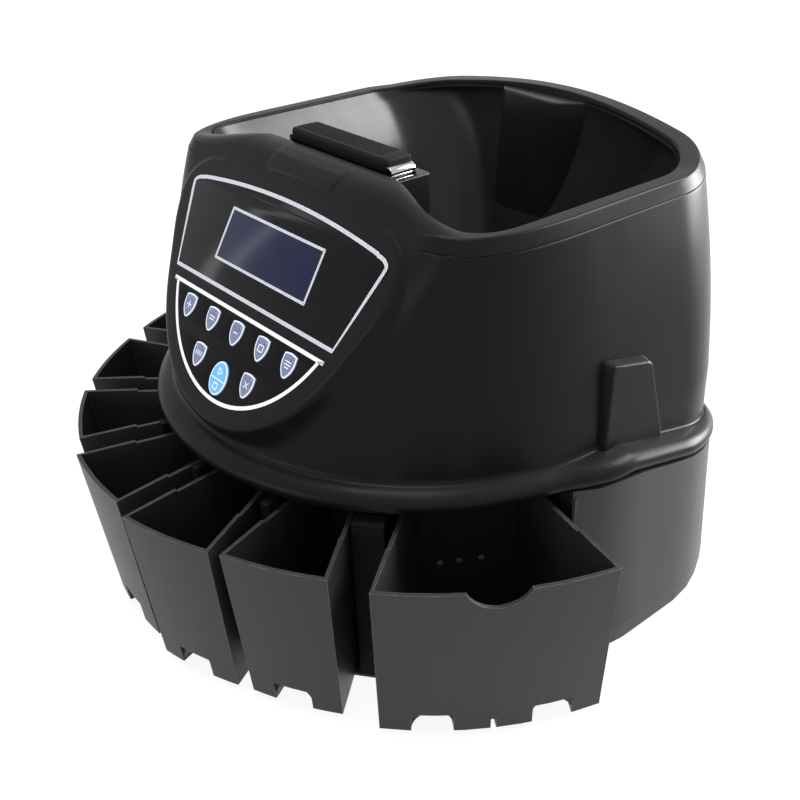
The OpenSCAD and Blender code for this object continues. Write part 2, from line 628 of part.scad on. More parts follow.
// ---- Cups ----
// outline of a cup at one height: curved face, straight sides, flat inner end
function cup_outline(w, depth, taper, r, d) = let (h = asin(w / 2 / r), sag = r * cos(h), inner = w / 2 - depth * tan(taper))
    concat([for (k = [-4 : 4]) let (a = h * k / 4 * (1 - 2 * d / w)) [r * sin(a), sag - r * cos(a) + d]],
        [[inner - d, depth - d], [-inner + d, depth - d]]);
function cup_ring(w, depth, taper, r, d, y, z) = [for (p = cup_outline(w, depth, taper, r, d)) [p[0], p[1] + y, z]];
module cup_body(w, w_low, taper, r) {
    z1 = cup_z + cup_h;
    inner = w_low / 2 - (w / 2 - cup_depth * tan(taper)) ;
    low_taper = atan((w_low / 2 - (w / 2 - cup_depth * tan(taper)) + 1) / (cup_depth - cup_lean - 3));
    difference() {
        stack([cup_ring(w_low, cup_depth - cup_lean - 3, low_taper, r, 0, cup_lean, cup_z), cup_ring(w, cup_depth, taper, r, 0, 0, z1)]);
        stack([cup_ring(w_low, cup_depth - cup_lean - 3, low_taper, r, cup_wall, cup_lean, cup_z + cup_wall),
            cup_ring(w, cup_depth, taper, r, cup_wall, 0, z1), cup_ring(w, cup_depth, taper, r, cup_wall, 0, z1 + 1)]);
        translate([-w, cup_depth * 0.36, z1 - 1.2]) cube([2 * w, cup_depth, 5]);
    }
}
module tunnel(grow) {               // arched, closed at the cup's inner end by the wall
    translate([0, cup_depth + 5, cup_z + tunnel_h - tunnel_w / 2]) rotate([90, 0, 0])
        cylinder(r = tunnel_w / 2 + grow, h = cup_depth + 5 - 4);
    translate([-tunnel_w / 2 - grow, 4, cup_z - 5]) cube([tunnel_w + 2 * grow, cup_depth + 1, tunnel_h - tunnel_w / 2 + 5]);
}
module coin_cup(w, w_low, taper, r, lanes) {
    difference() {
        union() {
            cup_body(w, w_low, taper, r);
            intersection() {
                for (x = lanes) translate([x, 0, 0]) tunnel(cup_wall - 0.2);
                stack([cup_ring(w_low, cup_depth - cup_lean - 3, taper - 1, r, 1, cup_lean, cup_z),
                    cup_ring(w, cup_depth, taper, r, 1, 0, cup_z + cup_h)]);
            }
        }
        for (x = lanes) translate([x, 0, 0]) {
            tunnel(0);
            translate([-tunnel_w / 2, -10, cup_z - 1]) cube([tunnel_w, 26, tunnel_h + 1]);
        }
        children();
    }
}
module single_cup(i) {
    color(CUP) cup_place(slot_of_cup(i), cup_ring_r + cup_set[i - 1][1], cup_set[i - 1][2])
        coin_cup(cup_w, cup_w_low, cup_taper, cup_ring_r + 2, [single_lane]);
}
module coin_cup_1() { single_cup(1); }
module coin_cup_2() { single_cup(2); }
module coin_cup_3() { single_cup(3); }
module coin_cup_4() { single_cup(4); }
module coin_cup_5() { single_cup(5); }
module coin_cup_6() { single_cup(6); }
module coin_cup_double() {
    color(CUP) cup_place(slot_pitch * 3 + double_set[0], cup_ring_r + double_set[1], double_set[2])
        coin_cup(double_w, double_w_low, double_taper, cup_ring_r + 7, double_lanes) {
            translate([0, -20, cup_z + cup_h + 7]) rotate([-90, 0, 0]) cylinder(r = 17, h = 30);
            translate([0, -20, cup_z - 1]) linear_extrude(8) polygon([[-2.3, 0], [2.3, 0], [1, 32], [-1, 32]]);
        }
}

base_pan();
rubber_feet();
base_screws();
base_shell();
bay_posts();
drive_shroud();
sorting_deck();
coin_sensors();
shaft_bushing();
disc_shaft();
coin_disc();
disc_pulley();
drive_belt();
motor_pulley();
motor_shaft();
drive_motor();
motor_bracket();
power_board();
power_inlet();
switch_body();
power_rocker();
printer_port();
upper_housing();
hopper_funnel();
display_window();
lcd_module();
keypad_overlay();
control_board();
key_switches();
key_plus();
key_batch();
key_minus();
key_set();
key_print();
key_report();
key_start_stop();
key_clear();
handle_grip();
handle_brackets();
handle_screws();
coin_cup_1();
coin_cup_2();
coin_cup_3();
coin_cup_4();
coin_cup_5();
coin_cup_6();
coin_cup_double();
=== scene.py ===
"""A desktop coin sorter: the moulded housing, hopper, control panel, carrying handle and pull-out
coin cups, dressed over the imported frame. Shapes are worked out in millimetres and stored in metres."""
import json
import math

import bmesh
import bpy
import numpy as np
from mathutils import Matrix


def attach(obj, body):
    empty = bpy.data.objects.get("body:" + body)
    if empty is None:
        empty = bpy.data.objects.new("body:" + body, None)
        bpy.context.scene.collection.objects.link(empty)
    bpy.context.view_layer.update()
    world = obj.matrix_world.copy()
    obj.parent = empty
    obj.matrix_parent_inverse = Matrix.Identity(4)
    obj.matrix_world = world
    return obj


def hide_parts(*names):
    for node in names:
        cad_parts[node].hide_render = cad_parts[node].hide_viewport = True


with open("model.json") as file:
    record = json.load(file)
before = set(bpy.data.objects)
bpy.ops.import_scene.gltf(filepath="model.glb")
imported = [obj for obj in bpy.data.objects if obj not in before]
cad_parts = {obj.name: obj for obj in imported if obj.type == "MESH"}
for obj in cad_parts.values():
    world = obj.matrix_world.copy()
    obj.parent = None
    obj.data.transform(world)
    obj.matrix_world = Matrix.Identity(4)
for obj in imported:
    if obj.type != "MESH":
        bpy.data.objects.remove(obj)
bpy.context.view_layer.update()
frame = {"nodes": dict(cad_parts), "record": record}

MM = 0.001

# ---------------------------------------------------------------- camera
AZIMUTH, ELEVATION, ROLL = (math.radians(v) for v in (49.32, 30.37, -0.91))
EYE = np.array([0.43754, -0.36564, 0.41713])
FOCAL_LENGTH, SENSOR_WIDTH = 46.71, 36.0
SHIFT_X, SHIFT_Y = -0.0431, -0.0005


def make_camera():
    """Camera at EYE, looking along -back, with its right and up axes turned by ROLL about back."""
    back = np.array([math.sin(AZIMUTH) * math.cos(ELEVATION), -math.cos(AZIMUTH) * math.cos(ELEVATION),
                     math.sin(ELEVATION)])
    right = np.array([math.cos(AZIMUTH), math.sin(AZIMUTH), 0.0])
    up = np.cross(back, right)
    c, s = math.cos(ROLL), math.sin(ROLL)
    turn = np.eye(4)
    turn[:3, 0], turn[:3, 1], turn[:3, 2], turn[:3, 3] = c * right + s * up, c * up - s * right, back, EYE
    lens = bpy.data.cameras.new("camera")
    lens.sensor_width, lens.lens = SENSOR_WIDTH, FOCAL_LENGTH
    lens.shift_x, lens.shift_y = SHIFT_X, SHIFT_Y
    lens.clip_start = 0.01
    camera = bpy.data.objects.new("camera", lens)
    bpy.context.scene.collection.objects.link(camera)
    camera.matrix_world = turn.T.tolist()
    bpy.context.scene.camera = camera


# ---------------------------------------------------------------- meshes
def keep(name, verts, faces, material, body, crease=38, outward=True):
    """Object from points in millimetres and faces, smooth but for edges sharper than crease degrees.
    outward turns the faces round where the surface would enclose a negative volume."""
    verts = np.asarray(verts, float)
    mesh = bpy.data.meshes.new(name)
    mesh.from_pydata((verts * MM).tolist(), [], faces)
    if outward:
        centre = verts.mean(0)
        corner = [np.array([f[k] for f in faces]) for k in (0, 1, 2)]
        a, b, c = (verts[k] - centre for k in corner)
        if np.einsum("ij,ij->i", a, np.cross(b, c)).sum() < 0:
            mesh.flip_normals()
    mesh.materials.append(material)
    mesh.shade_smooth()
    mesh.set_sharp_from_angle(angle=math.radians(crease))
    piece = bpy.data.objects.new(name, mesh)
    bpy.context.scene.collection.objects.link(piece)
    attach(piece, body)
    return piece


def grid_faces(rows, columns, wrap=True):
    """Quads between neighbouring rows, with the last column joined to the first where wrap is set."""
    n = columns if wrap else columns - 1
    i, j = np.meshgrid(np.arange(n), np.arange(rows - 1))
    a = j * columns + i
    b = j * columns + (i + 1) % columns
    return np.stack([a, b, b + columns, a + columns], -1).reshape(-1, 4).tolist()


def surface(name, points, material, body="base", wrap=True, lids=(False, False), crease=38,
            outward=True):
    """Surface over a grid of points (rows, columns, xyz). A lid closes the first or last row with a fan
    to that row's mean point."""
    points = np.asarray(points, float)
    rows, columns = points.shape[:2]
    faces = grid_faces(rows, columns, wrap)
    verts = points.reshape(-1, 3)
    ends = ((lids[0], points[0], 0, 1), (lids[1], points[-1], (rows - 1) * columns, -1))
    for wanted, row, start, side in ends:
        if wanted:
            verts = np.vstack([verts, row.mean(0)])
            hub = len(verts) - 1
            k = np.arange(columns)
            pair = np.stack([start + k, start + (k + 1) % columns], -1)[:, ::side]
            faces += [[hub, q, p] for p, q in pair.tolist()]
    return keep(name, verts, faces, material, body, crease, outward)


def rounded(rings, rounds, straight=2, bend=4):
    """Rows of points that run straight from ring to ring and turn each corner on a parabola that
    starts and ends rounds[k] millimetres from ring k. Each ring is an array of points (columns, 3)."""
    rows = [rings[0]]
    for k in range(1, len(rings) - 1):
        before, at, after = rings[k - 1], rings[k], rings[k + 1]
        reach_b = np.linalg.norm(before - at, axis=-1, keepdims=True) + 1e-9
        reach_a = np.linalg.norm(after - at, axis=-1, keepdims=True) + 1e-9
        p = at + (before - at) * np.minimum(rounds[k] / reach_b, 0.5)
        q = at + (after - at) * np.minimum(rounds[k] / reach_a, 0.5)
        last = rows[-1]
        n = straight if np.isscalar(straight) else straight[k - 1]
        rows += [last + (p - last) * s for s in np.linspace(0, 1, n + 1)[1:]]
        if rounds[k] > 0:
            rows += [(1 - s) ** 2 * p + 2 * s * (1 - s) * at + s * s * q
                     for s in np.linspace(0, 1, bend + 1)[1:]]
    last = rows[-1]
    n = straight if np.isscalar(straight) else straight[-1]
    rows += [last + (rings[-1] - last) * s for s in np.linspace(0, 1, n + 1)[1:]]
    return np.array(rows)


def loop(corners, radii, per_corner=8, per_side=1):
    """Closed outline through corners (x, y), each turned on a parabola radii[k] long, as (points, 2)."""
    corners = np.asarray(corners, float)
    out = []
    for k in range(len(corners)):
        before, at, after = corners[k - 1], corners[k], corners[(k + 1) % len(corners)]
        d = radii[k] if not np.isscalar(radii) else radii
        p = at + (before - at) * min(d / np.linalg.norm(before - at), 0.5)
        q = at + (after - at) * min(d / np.linalg.norm(after - at), 0.5)
        s = np.linspace(0, 1, per_corner)[:, None]
        out.append((1 - s) ** 2 * p + 2 * s * (1 - s) * at + s * s * q)
        if per_side > 1:
            nxt = (k + 1) % len(corners)
            d2 = radii[nxt] if not np.isscalar(radii) else radii
            p2 = after + (at - after) * min(d2 / np.linalg.norm(at - after), 0.5)
            s = np.linspace(0, 1, per_side + 1)[1:-1, None]
            out.append(q + (p2 - q) * s)
    return np.vstack(out)


def offset(outline, d):
    """The outline moved outwards by d along the mean of its neighbouring edges' normals."""
    before, after = np.roll(outline, 1, 0), np.roll(outline, -1, 0)
    t = after - before
    normal = np.stack([t[:, 1], -t[:, 0]], -1)
    normal /= np.linalg.norm(normal, axis=1, keepdims=True) + 1e-12
    area = 0.5 * np.sum(outline[:, 0] * after[:, 1] - outline[:, 1] * after[:, 0])
    return outline + normal * d * np.sign(area)


# ---------------------------------------------------------------- outlines of the housing
# [half width, front reach, front power, rear reach, rear arch, arch power, rear corner, front corner]
FLANGE = [167.8, 159.8, 2, 148, 62, 3, 36, 50]
CREASE = [151.5, 148.4, 2, 143.5, 32, 2, 45, 0]
RIM = [135.5, 107, 3.2, 137.5, 30, 2, 44, 0]
MOUTH = [122.5, 72, 7, 123, 28, 2, 34, 0]
THROAT = [76, 76, 2, 76, 0, 2, 76, 0]
LIP_Z, CREASE_Z, RIM_Z = 109.0, 122.6, 244.0
HEART = np.array([0.0, 0.0, 150.0])
PANEL_TILT = math.radians(58.3)
PANEL_Y, PANEL_Z = -102.1, 211.3
LEDGE_SLOPE = 0.24
NEAREST, FARTHEST, HALVINGS = 40.0, 280.0, 30


def step(a, b, t):
    """Smooth step from 0 at a to 1 at b."""
    t = np.clip((t - a) / (b - a), 0, 1)
    return t * t * (3 - 2 * t)


def smooth_max(a, b, k):
    """The greater of a and b, with the crease between them rounded over k."""
    h = np.clip(0.5 + 0.5 * (a - b) / k, 0, 1)
    return b + (a - b) * h + k * h * (1 - h)


def smooth_min(a, b, k):
    return -smooth_max(-a, -b, k)


def outside(o, x, y):
    """Distance outside an outline: a box with round corners and an arched back behind the centre, and
    before it a superellipse, or a circle joined to a box where a front corner is given."""
    across = np.abs(x)
    rear = y > 0
    qx = across - o[0]
    qy = np.where(rear, y + o[4] * (across / o[0]) ** o[5] - o[3], -y - (o[7] or o[1]))
    q = np.where(rear, o[6], o[7] or 30)
    s = np.hypot(np.maximum(qx + q, 0), np.maximum(qy + q, 0)) + np.minimum(np.maximum(qx + q, qy + q), 0) - q
    if o[7]:
        c = np.hypot(x, y) - o[1]
        h = np.clip(0.5 + 0.5 * (c - s) / 6, 0, 1)
        return c * (1 - h) + s * h - 6 * h * (1 - h)
    front = ((across / o[0]) ** o[2] + (np.abs(y) / o[1]) ** o[2]) ** (1 / o[2])
    return np.where(rear, s, (front - 1) * o[0])


def halve(field, a):
    """Distance from the centre, at angle a from the front, at which field(x, y) turns positive: the
    range that holds it is halved HALVINGS times."""
    low, high = np.full(a.shape, NEAREST), np.full(a.shape, FARTHEST)
    for _ in range(HALVINGS):
        mid = (low + high) / 2
        out = field(mid * np.sin(a), -mid * np.cos(a)) > 0
        low, high = np.where(out, low, mid), np.where(out, mid, high)
    return (low + high) / 2


def radius(o, a):
    """Radius of an outline at angle a from the front."""
    return halve(lambda x, y: outside(o, x, y), a)


def hopper_radius(a, t):
    """Hopper's outline at depth t: its width passes from the mouth's to the throat's as 1 - (1 - t) ** 2,
    its rear reach as t ** 1.7, its corners only as t ** 4, and the brow bulges into it near the top."""
    w = (1 - (1 - t) ** 2, t, t, t ** 1.7, t ** 0.5, t, t ** 4, t ** 4)
    o = [m * (1 - k) + n * k for m, n, k in zip(MOUTH, THROAT, w)]

    def field(x, y):
        brow = -y - 59 - 11 * step(54, 98, np.abs(x)) - 60 * t
        return smooth_max(outside(o, x, y), brow, 7.0)
    return halve(field, a)


def rim_height(a):
    """Height of the rim: level at the sides, higher behind and over the panel."""
    return RIM_Z + 10 * step(0.5, 0.76, np.cos(a)) + \
        11 * np.clip((-np.cos(a) - 0.55) / 0.45, 0, None) ** 1.2 * (1 - 0.2 * np.sin(a))


def drop(y):
    """How far the ledge has dropped at y behind the centre."""
    return LEDGE_SLOPE * np.clip(y - 3, 0, None)


def polar(r, a, z):
    """Points at radius r, angle a from the front and height z."""
    return np.stack([r * np.sin(a), -r * np.cos(a), np.broadcast_to(z, np.shape(r))], -1)


def ledge(o, a, d, z, fade=0.0):
    """Ring that follows the ledge, which falls towards the back."""
    r = radius(o, a) + d
    y = -r * np.cos(a)
    return polar(r, a, z - drop(y) - fade * 3 * np.clip(y / 40, 0, 1))


def on_panel(x, y, h):
    """From the panel's own across, up and outward to the machine's axes."""
    x, y, h = np.broadcast_arrays(x, y, h)
    return np.stack([x, PANEL_Y + y * math.cos(PANEL_TILT) - h * math.sin(PANEL_TILT),
                     PANEL_Z + y * math.sin(PANEL_TILT) + h * math.cos(PANEL_TILT)], -1)


def panel_of(p):
    """From the machine's axes to the panel's across, up and outward."""
    y, z = p[..., 1] - PANEL_Y, p[..., 2] - PANEL_Z
    return (p[..., 0], y * math.cos(PANEL_TILT) + z * math.sin(PANEL_TILT),
            z * math.cos(PANEL_TILT) - y * math.sin(PANEL_TILT))


# ---- outlines on the panel, symmetric about x = 0
def display_outline(g=0.0):
    """Display field: straight foot, sides that lean out, small top corners and an arched top."""
    side = np.array([[74.3 + g, -29 - g], [88 + g, 16], [88.6 + 0.9 * g, 20.5 + 0.5 * g],
                     [83 + 0.6 * g, 24 + g]])
    t = np.linspace(1, -1, 41)[1:-1]
    arch = np.stack([(83 + 0.6 * g) * t, 24 + g + 6.5 * (1 - t * t)], -1)
    right = loop(np.vstack([side, [[0, 26]]]), [0.1, 6, 3, 4, 0.1], 6)[6:24]
    half = np.vstack([[side[0]], right])
    mirror = half[::-1] * [-1, 1]
    return np.vstack([half, arch, mirror])


def keypad_outline(g=0.0):
    """Keypad field: straight top and a lower edge that is part of an ellipse."""
    u = np.radians(np.linspace(-62, 62, 49))
    arc = np.stack([(78 + g) * np.sin(u), 5 - (89 + g) * np.cos(u)], -1)
    top = np.array([[71.5 + 1.4 * g, -33.5 + g], [-71.5 - 1.4 * g, -33.5 + g]])
    return np.vstack([arc, top])


def bezel_outline(g=11.0):
    """Edge of the raised panel: the two fields' outlines joined and moved out by g."""
    u = np.radians(np.linspace(-66, 66, 67))
    arc = np.stack([(78 + g) * np.sin(u), 5 - (89 + g) * np.cos(u)], -1)
    t = np.linspace(0, 1, 14)[1:, None]
    right = arc[-1] + (np.array([87.2 + g, 10.0]) - arc[-1]) * t
    s = np.linspace(0, 1, 12)[1:, None]
    a, b, c = np.array([87.2 + g, 10.0]), np.array([89.5 + g, 23.0 + 0.4 * g]), np.array([80.0, 24.8 + g])
    corner = (1 - s) ** 2 * a + 2 * s * (1 - s) * b + s * s * c
    v = np.linspace(80, -80, 45)[1:-1]
    arch = np.stack([v, 24.0 + g + 6.5 * (1 - (v / 83) ** 2)], -1)
    return np.vstack([arc, right, corner, arch, corner[::-1] * [-1, 1], right[::-1] * [-1, 1]])


def distance(outline, x, y):
    """Signed distance to a closed outline, negative inside: least distance to its edges, with the
    sign from how often a ray across meets them."""
    a, b = outline, np.roll(outline, -1, 0)
    e = b - a
    best = np.full(x.shape, 1e9)
    inside = np.zeros(x.shape, bool)
    for (ax, ay), (bx, by), (ex, ey) in zip(a, b, e):
        wx, wy = x - ax, y - ay
        t = np.clip((wx * ex + wy * ey) / (ex * ex + ey * ey + 1e-12), 0, 1)
        best = np.minimum(best, np.hypot(wx - ex * t, wy - ey * t))
        if ay != by:
            inside ^= ((ay > y) != (by > y)) & (wx < ex * wy / ey)
    return np.where(inside, -best, best)


# ---------------------------------------------------------------- finishes
def group(name, inputs, outputs):
    """Empty shader node group with named sockets, and its input and output nodes."""
    tree = bpy.data.node_groups.new(name, "ShaderNodeTree")
    for label, kind, value in inputs:
        socket = tree.interface.new_socket(label, in_out="INPUT", socket_type=kind)
        socket.default_value = value
    for label, kind in outputs:
        tree.interface.new_socket(label, in_out="OUTPUT", socket_type=kind)
    return tree, tree.nodes.new("NodeGroupInput"), tree.nodes.new("NodeGroupOutput")


def node(tree, kind, **values):
    """Node of a kind, with sockets set by name or number and the rest as attributes."""
    made = tree.nodes.new("ShaderNode" + kind)
    for key, value in values.items():
        if key.startswith("i_"):
            made.inputs[int(key[2:])].default_value = value
        elif hasattr(made, key):
            setattr(made, key, value)
        else:
            made.inputs[key.replace("_", " ")].default_value = value
    return made


def link(tree, *pairs):
    for a, b in pairs:
        tree.links.new(a, b)


def math_node(tree, operation, a, b, clamp=False):
    """Output of a Math node over two numbers or sockets."""
    made = tree.nodes.new("ShaderNodeMath")
    made.operation, made.use_clamp = operation, clamp
    for k, v in enumerate((a, b)):
        if isinstance(v, (int, float)):
            made.inputs[k].default_value = v
        else:
            tree.links.new(v, made.inputs[k])
    return made.outputs[0]


def make_grain():
    """Moulded grain: fine noise for the eroded texture plus slow waves, as a height, with a mask of
    how glossy each spot is."""
    tree, g, out = group("Moulded grain",
                         [("Grain size", "NodeSocketFloat", 1800.0), ("Waviness", "NodeSocketFloat", 0.3)],
                         [("Height", "NodeSocketFloat"), ("Gloss patches", "NodeSocketFloat")])
    where = node(tree, "TexCoord").outputs["Object"]
    fine = node(tree, "TexNoise", Detail=3.0, Roughness=0.6)
    slow = node(tree, "TexNoise", Scale=22.0, Detail=2.0)
    patch = node(tree, "TexNoise", Scale=60.0, Detail=5.0, Roughness=0.65)
    link(tree, (where, fine.inputs["Vector"]), (where, slow.inputs["Vector"]),
         (where, patch.inputs["Vector"]), (g.outputs["Grain size"], fine.inputs["Scale"]))
    waves = math_node(tree, "MULTIPLY", slow.outputs["Fac"], g.outputs["Waviness"])
    link(tree, (math_node(tree, "ADD", fine.outputs["Fac"], waves), out.inputs["Height"]),
         (patch.outputs["Fac"], out.inputs["Gloss patches"]))
    return tree


def make_wear_and_edge_highlight():
    """Rubbed edges and painted highlight: how far a rounded normal turns from the real one, broken up by noise.
    The edges it marks are lightened as wear and as a painted highlight.
    """
    tree, g, out = group("Rubbed edges and painted highlight", [("Width", "NodeSocketFloat", 0.0006)],
                         [("Mask", "NodeSocketFloat")])
    bevel = node(tree, "Bevel", samples=4)
    geometry = node(tree, "NewGeometry")
    dot = tree.nodes.new("ShaderNodeVectorMath")
    dot.operation = "DOT_PRODUCT"
    link(tree, (g.outputs["Width"], bevel.inputs["Radius"]), (bevel.outputs["Normal"], dot.inputs[0]),
         (geometry.outputs["Normal"], dot.inputs[1]))
    turned = math_node(tree, "MULTIPLY", math_node(tree, "SUBTRACT", 1.0, dot.outputs["Value"], True), 5.0,
                       True)
    where = node(tree, "TexCoord").outputs["Object"]
    noise = node(tree, "TexNoise", Scale=240.0, Detail=4.0)
    link(tree, (where, noise.inputs["Vector"]))
    broken = math_node(tree, "MULTIPLY", math_node(tree, "SUBTRACT", noise.outputs["Fac"], 0.3, True), 2.2,
                       True)
    link(tree, (math_node(tree, "MULTIPLY", turned, broken), out.inputs["Mask"]))
    return tree


def make_dust():
    """Settled dust: specks and a faint film on faces that look up."""
    tree, g, out = group("Settled dust", [("Amount", "NodeSocketFloat", 0.3)], [("Mask", "NodeSocketFloat")])
    geometry = node(tree, "NewGeometry")
    split = node(tree, "SeparateXYZ")
    where = node(tree, "TexCoord").outputs["Object"]
    film = node(tree, "TexNoise", Scale=35.0, Detail=6.0, Roughness=0.7)
    specks = node(tree, "TexNoise", Scale=700.0, Detail=1.0)
    link(tree, (geometry.outputs["Normal"], split.inputs[0]), (where, film.inputs["Vector"]),
         (where, specks.inputs["Vector"]))
    up = math_node(tree, "MULTIPLY", math_node(tree, "SUBTRACT", split.outputs["Z"], 0.25, True), 1.2, True)
    spots = math_node(tree, "MULTIPLY", math_node(tree, "SUBTRACT", specks.outputs["Fac"], 0.68, True), 6.0,
                      True)
    both = math_node(tree, "ADD", math_node(tree, "MULTIPLY", film.outputs["Fac"], 0.35), spots, True)
    link(tree, (math_node(tree, "MULTIPLY", math_node(tree, "MULTIPLY", up, both), g.outputs["Amount"], True),
                out.inputs["Mask"]))
    return tree


GRAIN, WEAR_AND_HIGHLIGHT, DUST = make_grain(), make_wear_and_edge_highlight(), make_dust()
DUST_COLOUR = (0.30, 0.29, 0.27)
MIX_FACTOR, MIX_A, MIX_B, MIX_RESULT = 0, 6, 7, 2       # a Mix node's sockets for colours


def place(tree, made_group, **values):
    """Group node in a material, with its own values."""
    made = tree.nodes.new("ShaderNodeGroup")
    made.node_tree = made_group
    for key, value in values.items():
        made.inputs[key.replace("_", " ")].default_value = value
    return made


def finish_of(name, colour, roughness, edge=None, size=1800.0, depth=0.0002, strength=0.15, waviness=0.3,
              dust=0.3, spread=0.06, bevel=0.0, **shader):
    """Material with moulded or brushed relief, gloss that varies in patches, edges lightened as wear and as a
    painted highlight, and dust.
    """
    material = bpy.data.materials.new(name)
    material.use_nodes = True
    tree = material.node_tree
    tree.nodes.clear()
    out = node(tree, "OutputMaterial")
    body = node(tree, "BsdfPrincipled")
    for key, value in shader.items():
        body.inputs[key.replace("_", " ")].default_value = value
    grain = place(tree, GRAIN, Grain_size=size, Waviness=waviness)
    wear_and_highlight = place(tree, WEAR_AND_HIGHLIGHT)
    film = place(tree, DUST, Amount=dust)
    # Edges are lightened towards this colour: wear, and a painted highlight on rounded edges.
    edge = edge or [min(1.0, c * 2.2 + 0.012) for c in colour]
    last = None
    for mask, tint, most in ((grain.outputs["Gloss patches"], [c * 1.35 for c in colour], 0.4),
                             (wear_and_highlight.outputs["Mask"], edge, 0.8), (film.outputs["Mask"], DUST_COLOUR, 0.25)):
        mix = node(tree, "Mix", data_type="RGBA")
        mix.inputs[MIX_B].default_value = (*tint, 1)
        if last:
            link(tree, (last, mix.inputs[MIX_A]))
        else:
            mix.inputs[MIX_A].default_value = (*colour, 1)
        link(tree, (math_node(tree, "MULTIPLY", mask, most), mix.inputs[MIX_FACTOR]))
        last = mix.outputs[MIX_RESULT]
    patchy = math_node(tree, "MULTIPLY", math_node(tree, "SUBTRACT", grain.outputs["Gloss patches"], 0.5),
                       spread * 2)
    rough = math_node(tree, "ADD", patchy, roughness)
    rough = math_node(tree, "ADD", rough, math_node(tree, "MULTIPLY", film.outputs["Mask"], 0.2), True)
    bump = node(tree, "Bump", Strength=strength, Distance=depth)
    if bevel:
        soft = node(tree, "Bevel", samples=6, Radius=bevel)
        link(tree, (soft.outputs["Normal"], bump.inputs["Normal"]))
    link(tree, (last, body.inputs["Base Color"]), (rough, body.inputs["Roughness"]),
         (grain.outputs["Height"], bump.inputs["Height"]), (bump.outputs["Normal"], body.inputs["Normal"]),
         (body.outputs[0], out.inputs[0]))
    return material


SHELL = finish_of("satin black housing", (0.006, 0.006, 0.0065), 0.30, strength=0.10, Specular_IOR_Level=0.07)
NAMEPLATE = finish_of("bare nameplate film", (0.005, 0.005, 0.0055), 0.22, strength=0.05, dust=0.2,
                      Specular_IOR_Level=0.10)
# The posts' plastic is darker than the base around them: painted shade for the shadow under the lip.
POST_PAINTED_SHADE = finish_of("post plastic with painted shade", (0.005, 0.005, 0.0055), 0.5, strength=0.2, Specular_IOR_Level=0.06)
MARK = finish_of("moulding mark", (0.16, 0.16, 0.16), 0.4, strength=0.1, Specular_IOR_Level=0.3)
# The base is the housing's plastic in a lighter colour: painted light for the grazing light its flanks catch.
LOWER_PAINTED_LIGHT = finish_of("satin charcoal base with painted light", (0.016, 0.016, 0.016), 0.40, strength=0.22, Specular_IOR_Level=0.30)
HOPPER = finish_of("polished black hopper", (0.008, 0.008, 0.0085), 0.27, strength=0.06, dust=0.1,
                   Specular_IOR_Level=0.24)
# The cups' pale bluish edge colour is a painted highlight on their rounded rims, as well as wear.
CUP = finish_of("charcoal cup", (0.019, 0.019, 0.020), 0.42, edge=(0.24, 0.24, 0.26), strength=0.3,
                Specular_IOR_Level=0.25)
WINDOW = finish_of("smoked window", (0.004, 0.004, 0.004), 0.09, strength=0.03, waviness=0.5, size=60.0,
                   dust=0.1, spread=0.02, Specular_IOR_Level=0.10)
OVERLAY = finish_of("keypad film", (0.004, 0.004, 0.0045), 0.42, strength=0.12, dust=0.15,
                    Specular_IOR_Level=0.05)
OUTLINE = finish_of("silver print", (0.50, 0.51, 0.55), 0.45, strength=0.05, dust=0.1, Specular_IOR_Level=0.3)
WHITE_PRINT = finish_of("white print", (0.80, 0.80, 0.84), 0.5, strength=0.05, dust=0.05,
                        Specular_IOR_Level=0.3)
LCD = finish_of("navy liquid crystal", (0.008, 0.009, 0.036), 0.14, strength=0.04, waviness=1.0, size=90.0,
                dust=0.1, Specular_IOR_Level=0.16)
KEY = finish_of("slate key film", (0.155, 0.19, 0.30), 0.42, strength=0.12, dust=0.1, Specular_IOR_Level=0.3)
KEY_BLUE = finish_of("sky blue key film", (0.13, 0.43, 0.78), 0.42, strength=0.12, dust=0.1,
                     Specular_IOR_Level=0.3)
RUBBER = finish_of("ribbed grip rubber", (0.006, 0.007, 0.007), 0.55, strength=0.35, dust=0.2,
                   Specular_IOR_Level=0.07)
CHROME = finish_of("bright chrome", (0.42, 0.42, 0.44), 0.12, size=300.0, strength=0.02, dust=0.2,
                   Metallic=1.0)
STEEL = finish_of("brushed steel", (0.42, 0.43, 0.45), 0.30, size=900.0, strength=0.12, dust=0.2,
                  Metallic=1.0)
FOOT = finish_of("foot rubber", (0.012, 0.012, 0.012), 0.7, strength=0.4, Specular_IOR_Level=0.2)
BRONZE = finish_of("turned bronze", (0.46, 0.27, 0.10), 0.32, size=700.0, Metallic=1.0)
BELT = finish_of("belt rubber", (0.014, 0.014, 0.014), 0.65, strength=0.3, Specular_IOR_Level=0.2)
BOARD = finish_of("green circuit board", (0.02, 0.13, 0.06), 0.28, strength=0.15)
SOCKET = finish_of("black socket plastic", (0.012, 0.012, 0.013), 0.35, strength=0.15, bevel=0.0004)
ROCKER = finish_of("red rocker", (0.33, 0.012, 0.012), 0.2, strength=0.05, bevel=0.0004)
ZINC = finish_of("zinc plated motor can", (0.34, 0.35, 0.37), 0.38, size=500.0, strength=0.12, Metallic=0.9)
SLOT_FINISH = {"shell_abs": SHELL, "hopper_abs": HOPPER, "cup_abs": CUP, "window_black": WINDOW,
               "overlay_black": OVERLAY, "lcd_blue": LCD, "key_grey": KEY, "key_blue": KEY_BLUE,
               "grip_rubber": RUBBER, "bright_chrome": CHROME,
               "steel": STEEL, "foot_rubber": FOOT, "bronze": BRONZE, "belt_rubber": BELT,
               "board_green": BOARD, "socket_black": SOCKET, "rocker_red": ROCKER, "motor_zinc": ZINC}


# ---------------------------------------------------------------- housing
BEZEL = bezel_outline()
PANEL_EDGE = 3.6                    # radius of the raised panel's edge
FRONT_COLUMNS, REAR_COLUMNS = 321, 149
WALL_ROWS, CORNER_ROWS = 92, 4
FIELD_DEPTH = 2.3                   # how far the two fields are sunk for the window and the keypad film


